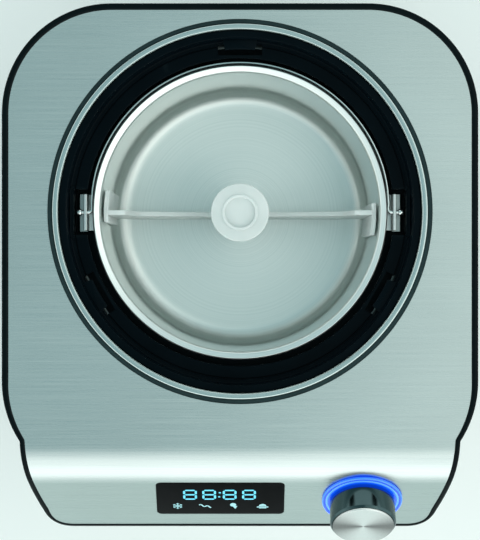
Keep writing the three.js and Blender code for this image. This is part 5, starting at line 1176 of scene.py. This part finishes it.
def make_drive_shaft():
    low, high = local_box("drive_shaft")
    rod_top = TUBE_TOP - 3
    profile = [(0, low.z), (5, low.z), (5, rod_top - 1), (4.2, rod_top), (0, rod_top)]
    shaft = lathe("shaft_rod", fillet(profile, 0.4, 3), steps=48)
    dress(shaft, SMALL_STEEL, "drive_train", "small_steel", "drive_shaft")
    head = plate("shaft_square", rounded_rectangle(6, 6, 0.6, 4), TUBE_TOP - 6, high.z, 0.8)
    dress(head, SMALL_STEEL, "drive_train", "small_steel")


# ---------- knob and display ----------


def make_knob():
    ring = fillet(
        [
            (5, -2.4), (23.1, -2.4), (23.1, 0.35), (RING_RADIUS, 0.35), (RING_RADIUS, 1.5),
            (23.4, RING_PROUD), (22.6, RING_PROUD), (22.3, 1.3), (21.4, 1.3),
            (21.1, RING_PROUD), (5, RING_PROUD),
        ],
        [0, 0, 0, 0.2, 0.5, 0.3, 0.2, 0.2, 0.2, 0.2, 0], 4,
    )
    guide = lathe("light_guide", ring, KNOB_PLACE, 128)
    dress(guide, LIGHT_RING, "machine", "ring_blue", "knob_light_ring")
    bottom = 4.3
    hole = 3.3
    seat = KNOB_TOP - 1.3
    roof = KNOB_TOP - 4
    side = fillet(
        [
            (hole, bottom), (KNOB_RADIUS - 0.5, bottom), (KNOB_RADIUS, bottom + 0.6),
            (KNOB_RADIUS, KNOB_TOP - 2.4), (18.9, KNOB_TOP - 1.1), (18.7, seat), (0, seat),
            (0, roof), (hole, roof),
        ],
        [0, 0.3, 0.3, 0.35, 0.1, 0, 0, 0, 0], 4,
    )
    body = lathe("knob_drum", side, KNOB_PLACE, 160, angle=24)
    dress(body, KNOB_SIDE, "knob", "knob_dark", "knob_body")
    base = KNOB_TOP - 1.1
    face = [(0, base), (18.6, base), (18.6, KNOB_TOP - 0.5), (18.1, KNOB_TOP), (0, KNOB_TOP)]
    cap = lathe("knob_disc", fillet(face, [0, 0, 0.1, 0.15, 0], 3), KNOB_PLACE, 160, angle=20)
    dress(cap, KNOB_FACE, "knob", "knob_face", "knob_cap")


DIGIT_WIDTH = 7.1
DIGIT_HEIGHT = 9.4
DIGIT_CENTRES = (-18.5, -6.8, 5.7, 17.5)
DIGIT_LINE = 4.1
ICON_LINE = -8.2
SEGMENT = 1.3


def flat(outline, place):
    """A lit shape of the display, a hair thick."""
    return plate("lit_shape", [tuple(point) for point in outline], 0, 0.05, 0, place)


def half_width(a, b, width):
    """Half a bar's width as a vector to the left of the way from a to b."""
    along = (b - a).normalized()
    return Vector((-along.y, along.x)) * width / 2


def flat_bar(a, b, width, place):
    start, end = Vector(a), Vector(b)
    side = half_width(start, end, width)
    return flat([start - side, end - side, end + side, start + side], place)


def segment_bar(a, b, place):
    """One display segment: a flat bar with pointed ends."""
    start, end = Vector(a), Vector(b)
    side = half_width(start, end, SEGMENT)
    tip = (end - start).normalized() * SEGMENT / 2
    below = [start + tip - side, end - tip - side, end]
    above = [end - tip + side, start + tip + side, start]
    return flat(below + above, place)


def join(name, pieces):
    """Joins flat pieces into one mesh."""
    bm = bmesh.new()
    for item in pieces:
        bm.from_mesh(item.data)
        bpy.data.objects.remove(item)
    return new_object(name, bm)


def make_display():
    outline = rounded_rectangle(WINDOW_WIDTH, WINDOW_HEIGHT, 3)
    pane = plate("display_pane", outline, -2.3, 0.1, 0.3, WINDOW_PLACE)
    dress(pane, GLASS, "machine", "window_black", "display_window")
    face = WINDOW_PLACE @ Matrix.Translation((0, 0, 0.11))
    bars = []
    gap = 0.35
    w = DIGIT_WIDTH / 2
    h = DIGIT_HEIGHT / 2
    rows = [((-w + gap, y), (w - gap, y)) for y in (h, 0, -h)]
    rows += [((x, gap), (x, h - gap)) for x in (-w, w)]
    rows += [((x, -h + gap), (x, -gap)) for x in (-w, w)]
    for centre in DIGIT_CENTRES:
        middle = Vector((centre, DIGIT_LINE))
        bars += [segment_bar(middle + Vector(a), middle + Vector(b), face) for a, b in rows]
    for dy in (-2.2, 2.2):
        bars.append(flat(rounded_rectangle(1.3, 1.3, 0.3, 3, -0.5 + dy * 0.1, DIGIT_LINE + dy), face))
    dress(join("display_digits", bars), SEGMENT_LIT, "machine", "window_black")

    icons = snowflake(-26.3, face) + wavy_paddle(-9.5, face) + cone_and_scoop(8.2, face) + tub(25.9, face)
    dress(join("display_icons", icons), ICON_LIT, "machine", "window_black")


def snowflake(x, face):
    reach = 3.1
    twig = 1.1
    out = []
    for k in range(6):
        a = math.radians(60 * k + 30)
        along = Vector((math.cos(a), math.sin(a)))
        middle = Vector((x, ICON_LINE))
        out.append(flat_bar(middle, middle + along * reach, 0.55, face))
        fork = middle + along * reach * 0.6
        for turn in (-1, 1):
            b = a + turn * math.radians(50)
            out.append(flat_bar(fork, fork + twig * Vector((math.cos(b), math.sin(b))), 0.45, face))
    return out


def wavy_paddle(x, face):
    count = 10
    wave = []
    for k in range(count + 1):
        t = k / count
        wave.append((x - 3.6 + 7.2 * t, ICON_LINE + 1.1 - 2.2 * t + 0.8 * math.sin(t * 11)))
    return [flat_bar(a, b, 0.95, face) for a, b in zip(wave, wave[1:])]


def cone_and_scoop(x, face):
    cone = [(x + 0.9, ICON_LINE - 3.2), (x + 2.2, ICON_LINE - 0.2), (x - 0.9, ICON_LINE + 0.1)]
    scoop = arc(x - 0.4, ICON_LINE + 1.3, 1.9, 0, 359, 20)
    return [flat(cone, face), flat(scoop, face)]


def tub(x, face):
    heap = arc(x, ICON_LINE - 0.1, 2.3, 0, 180, 16)
    base = flat_bar((x - 3.5, ICON_LINE - 1.1), (x + 3.5, ICON_LINE - 1.1), 1.1, face)
    foot = flat_bar((x - 2.2, ICON_LINE - 2.2), (x + 2.2, ICON_LINE - 2.2), 0.7, face)
    return [flat(heap, face), base, foot]


# ---------- carried-over nodes ----------

CARRIED = (  # a finish, then the nodes that wear it
    (FOAM, "well_insulation"),
    (SMALL_STEEL, "shelf_plate", "motor_pinion", "knob_shaft"),
    (COPPER, "evaporator_coil", "discharge_pipe", "liquid_pipe", "capillary_tube", "suction_pipe"),
    (COPPER, "shaft_bearing", "filter_dryer"),
    (GREY_PLASTIC, "gearbox_housing", "gearbox_cover", "fan_shroud", "encoder_body"),
    (NYLON, "heater_mat", "output_gear", "idler_gear", "fan_blade", "encoder_plunger", "paddle_bush"),
    (BLACK_STEEL, "drive_motor", "compressor", "compressor_base", "condenser", "fan_motor"),
    (BOARD, "display_board", "power_board"),
    (RUBBER, "shaft_seal", *("compressor_grommet_%d" % i for i in range(1, 5))),
)


def dress_carried_nodes():
    for finish, *nodes in CARRIED:
        for node in nodes:
            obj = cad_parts[node]
            if not obj.material_slots:
                obj.data.materials.append(finish)
            for slot in obj.material_slots:
                slot.link = "OBJECT"
                slot.material = finish


# ---------- stage ----------


def area_light(name, location, target, size, power, colour=(1, 1, 1), size_y=None):
    data = bpy.data.lights.new(name, "AREA")
    data.energy = power
    data.color = colour
    data.shape = "RECTANGLE"
    data.size = size
    data.size_y = size_y or size
    obj = bpy.data.objects.new(name, data)
    obj.location = location
    aim = Vector(target) - Vector(location)
    obj.rotation_euler = aim.to_track_quat("-Z", "Y").to_euler()
    bpy.context.scene.collection.objects.link(obj)
    return obj


def floor_material():
    made, tree, shader = material("pale_floor")
    colour = cloudy(tree, noise(tree, 1.5), (0.91, 0.94, 0.925), (0.94, 0.965, 0.95))
    fill(tree, shader, {"Base Color": colour, "Roughness": 0.7})
    return made


DOME_LEAN = (-0.08, 0.26, 1.0)  # the dome's dim top leans back and to the left


def dark_gaps(tree, split):
    """Two narrow dark gaps low down at the back, one each side, between the bright walls."""
    azimuth = maths(tree, "ARCTAN2", split.outputs["X"], split.outputs["Y"])
    aside = maths(tree, "ABSOLUTE", azimuth)
    enter = spread(tree, aside, 0, 1, 0.40, 0.50)
    leave = spread(tree, aside, 1, 0, 0.66, 0.78)
    low = spread(tree, split.outputs["Z"], 1, 0, 0.2, 0.35)
    return maths(tree, "MULTIPLY", maths(tree, "MULTIPLY", enter, leave), low)


def studio_world():
    """A bright dome that is dimmer straight overhead, like a studio with a high dark ceiling."""
    world = bpy.data.worlds.new("studio")
    world.use_nodes = True
    tree = world.node_tree
    direction = add_node(tree, "ShaderNodeTexCoord").outputs["Generated"]
    split = add_node(tree, "ShaderNodeSeparateXYZ", {"Vector": direction})
    lean = vector_maths(tree, "DOT_PRODUCT", direction, DOME_LEAN)
    ramp = add_node(tree, "ShaderNodeValToRGB", {"Fac": lean})
    low, high = ramp.color_ramp.elements
    low.position = 0.55
    low.color = (1.4, 1.5, 1.47, 1)
    high.position = 0.93
    high.color = (0.33, 0.50, 0.52, 1)
    dome = blend(tree, dark_gaps(tree, split), ramp.outputs["Color"], (0.02, 0.03, 0.03))
    fill(tree, tree.nodes["Background"], {"Color": dome, "Strength": 1.0})
    return world


def make_stage():
    scene = bpy.context.scene
    half = 6.0
    mesh = bpy.data.meshes.new("floor")
    corners = [(-half, -half, 0), (half, -half, 0), (half, half, 0), (-half, half, 0)]
    mesh.from_pydata(corners, [], [(0, 1, 2, 3)])
    floor_obj = bpy.data.objects.new("floor", mesh)
    scene.collection.objects.link(floor_obj)
    mesh.materials.append(floor_material())

    scene.world = studio_world()
    area_light("overhead", (1.15, -0.4, 2.6), (1.15, -0.4, 0), 1.8, 9.0, (1.0, 0.94, 0.84), size_y=2.4)
    area_light("front_wall", (0, -2.4, 1.1), (0, 0, 0.4), 3.0, 3, size_y=1.1)
    scene.view_settings.view_transform = "Standard"


def make_camera():
    data = bpy.data.cameras.new("camera")
    obj = bpy.data.objects.new("camera", data)
    distance = 1.25
    view_height = 0.324  # of the picture, at the deck
    data.sensor_width = 36
    data.lens = 36 * distance / view_height
    obj.location = (0, 0, DECK * MM + distance)
    obj.rotation_euler = (0, 0, 0)
    bpy.context.scene.collection.objects.link(obj)
    bpy.context.scene.camera = obj


make_camera()
make_stage()
make_console_frame()
make_deck()
make_shell()
make_rear_cover()
make_tray_and_feet()
make_screws_and_gland()
make_collar()
make_well()
make_bowl()
make_bail()
make_paddle()
make_drive_shaft()
make_knob()
make_display()
dress_carried_nodes()
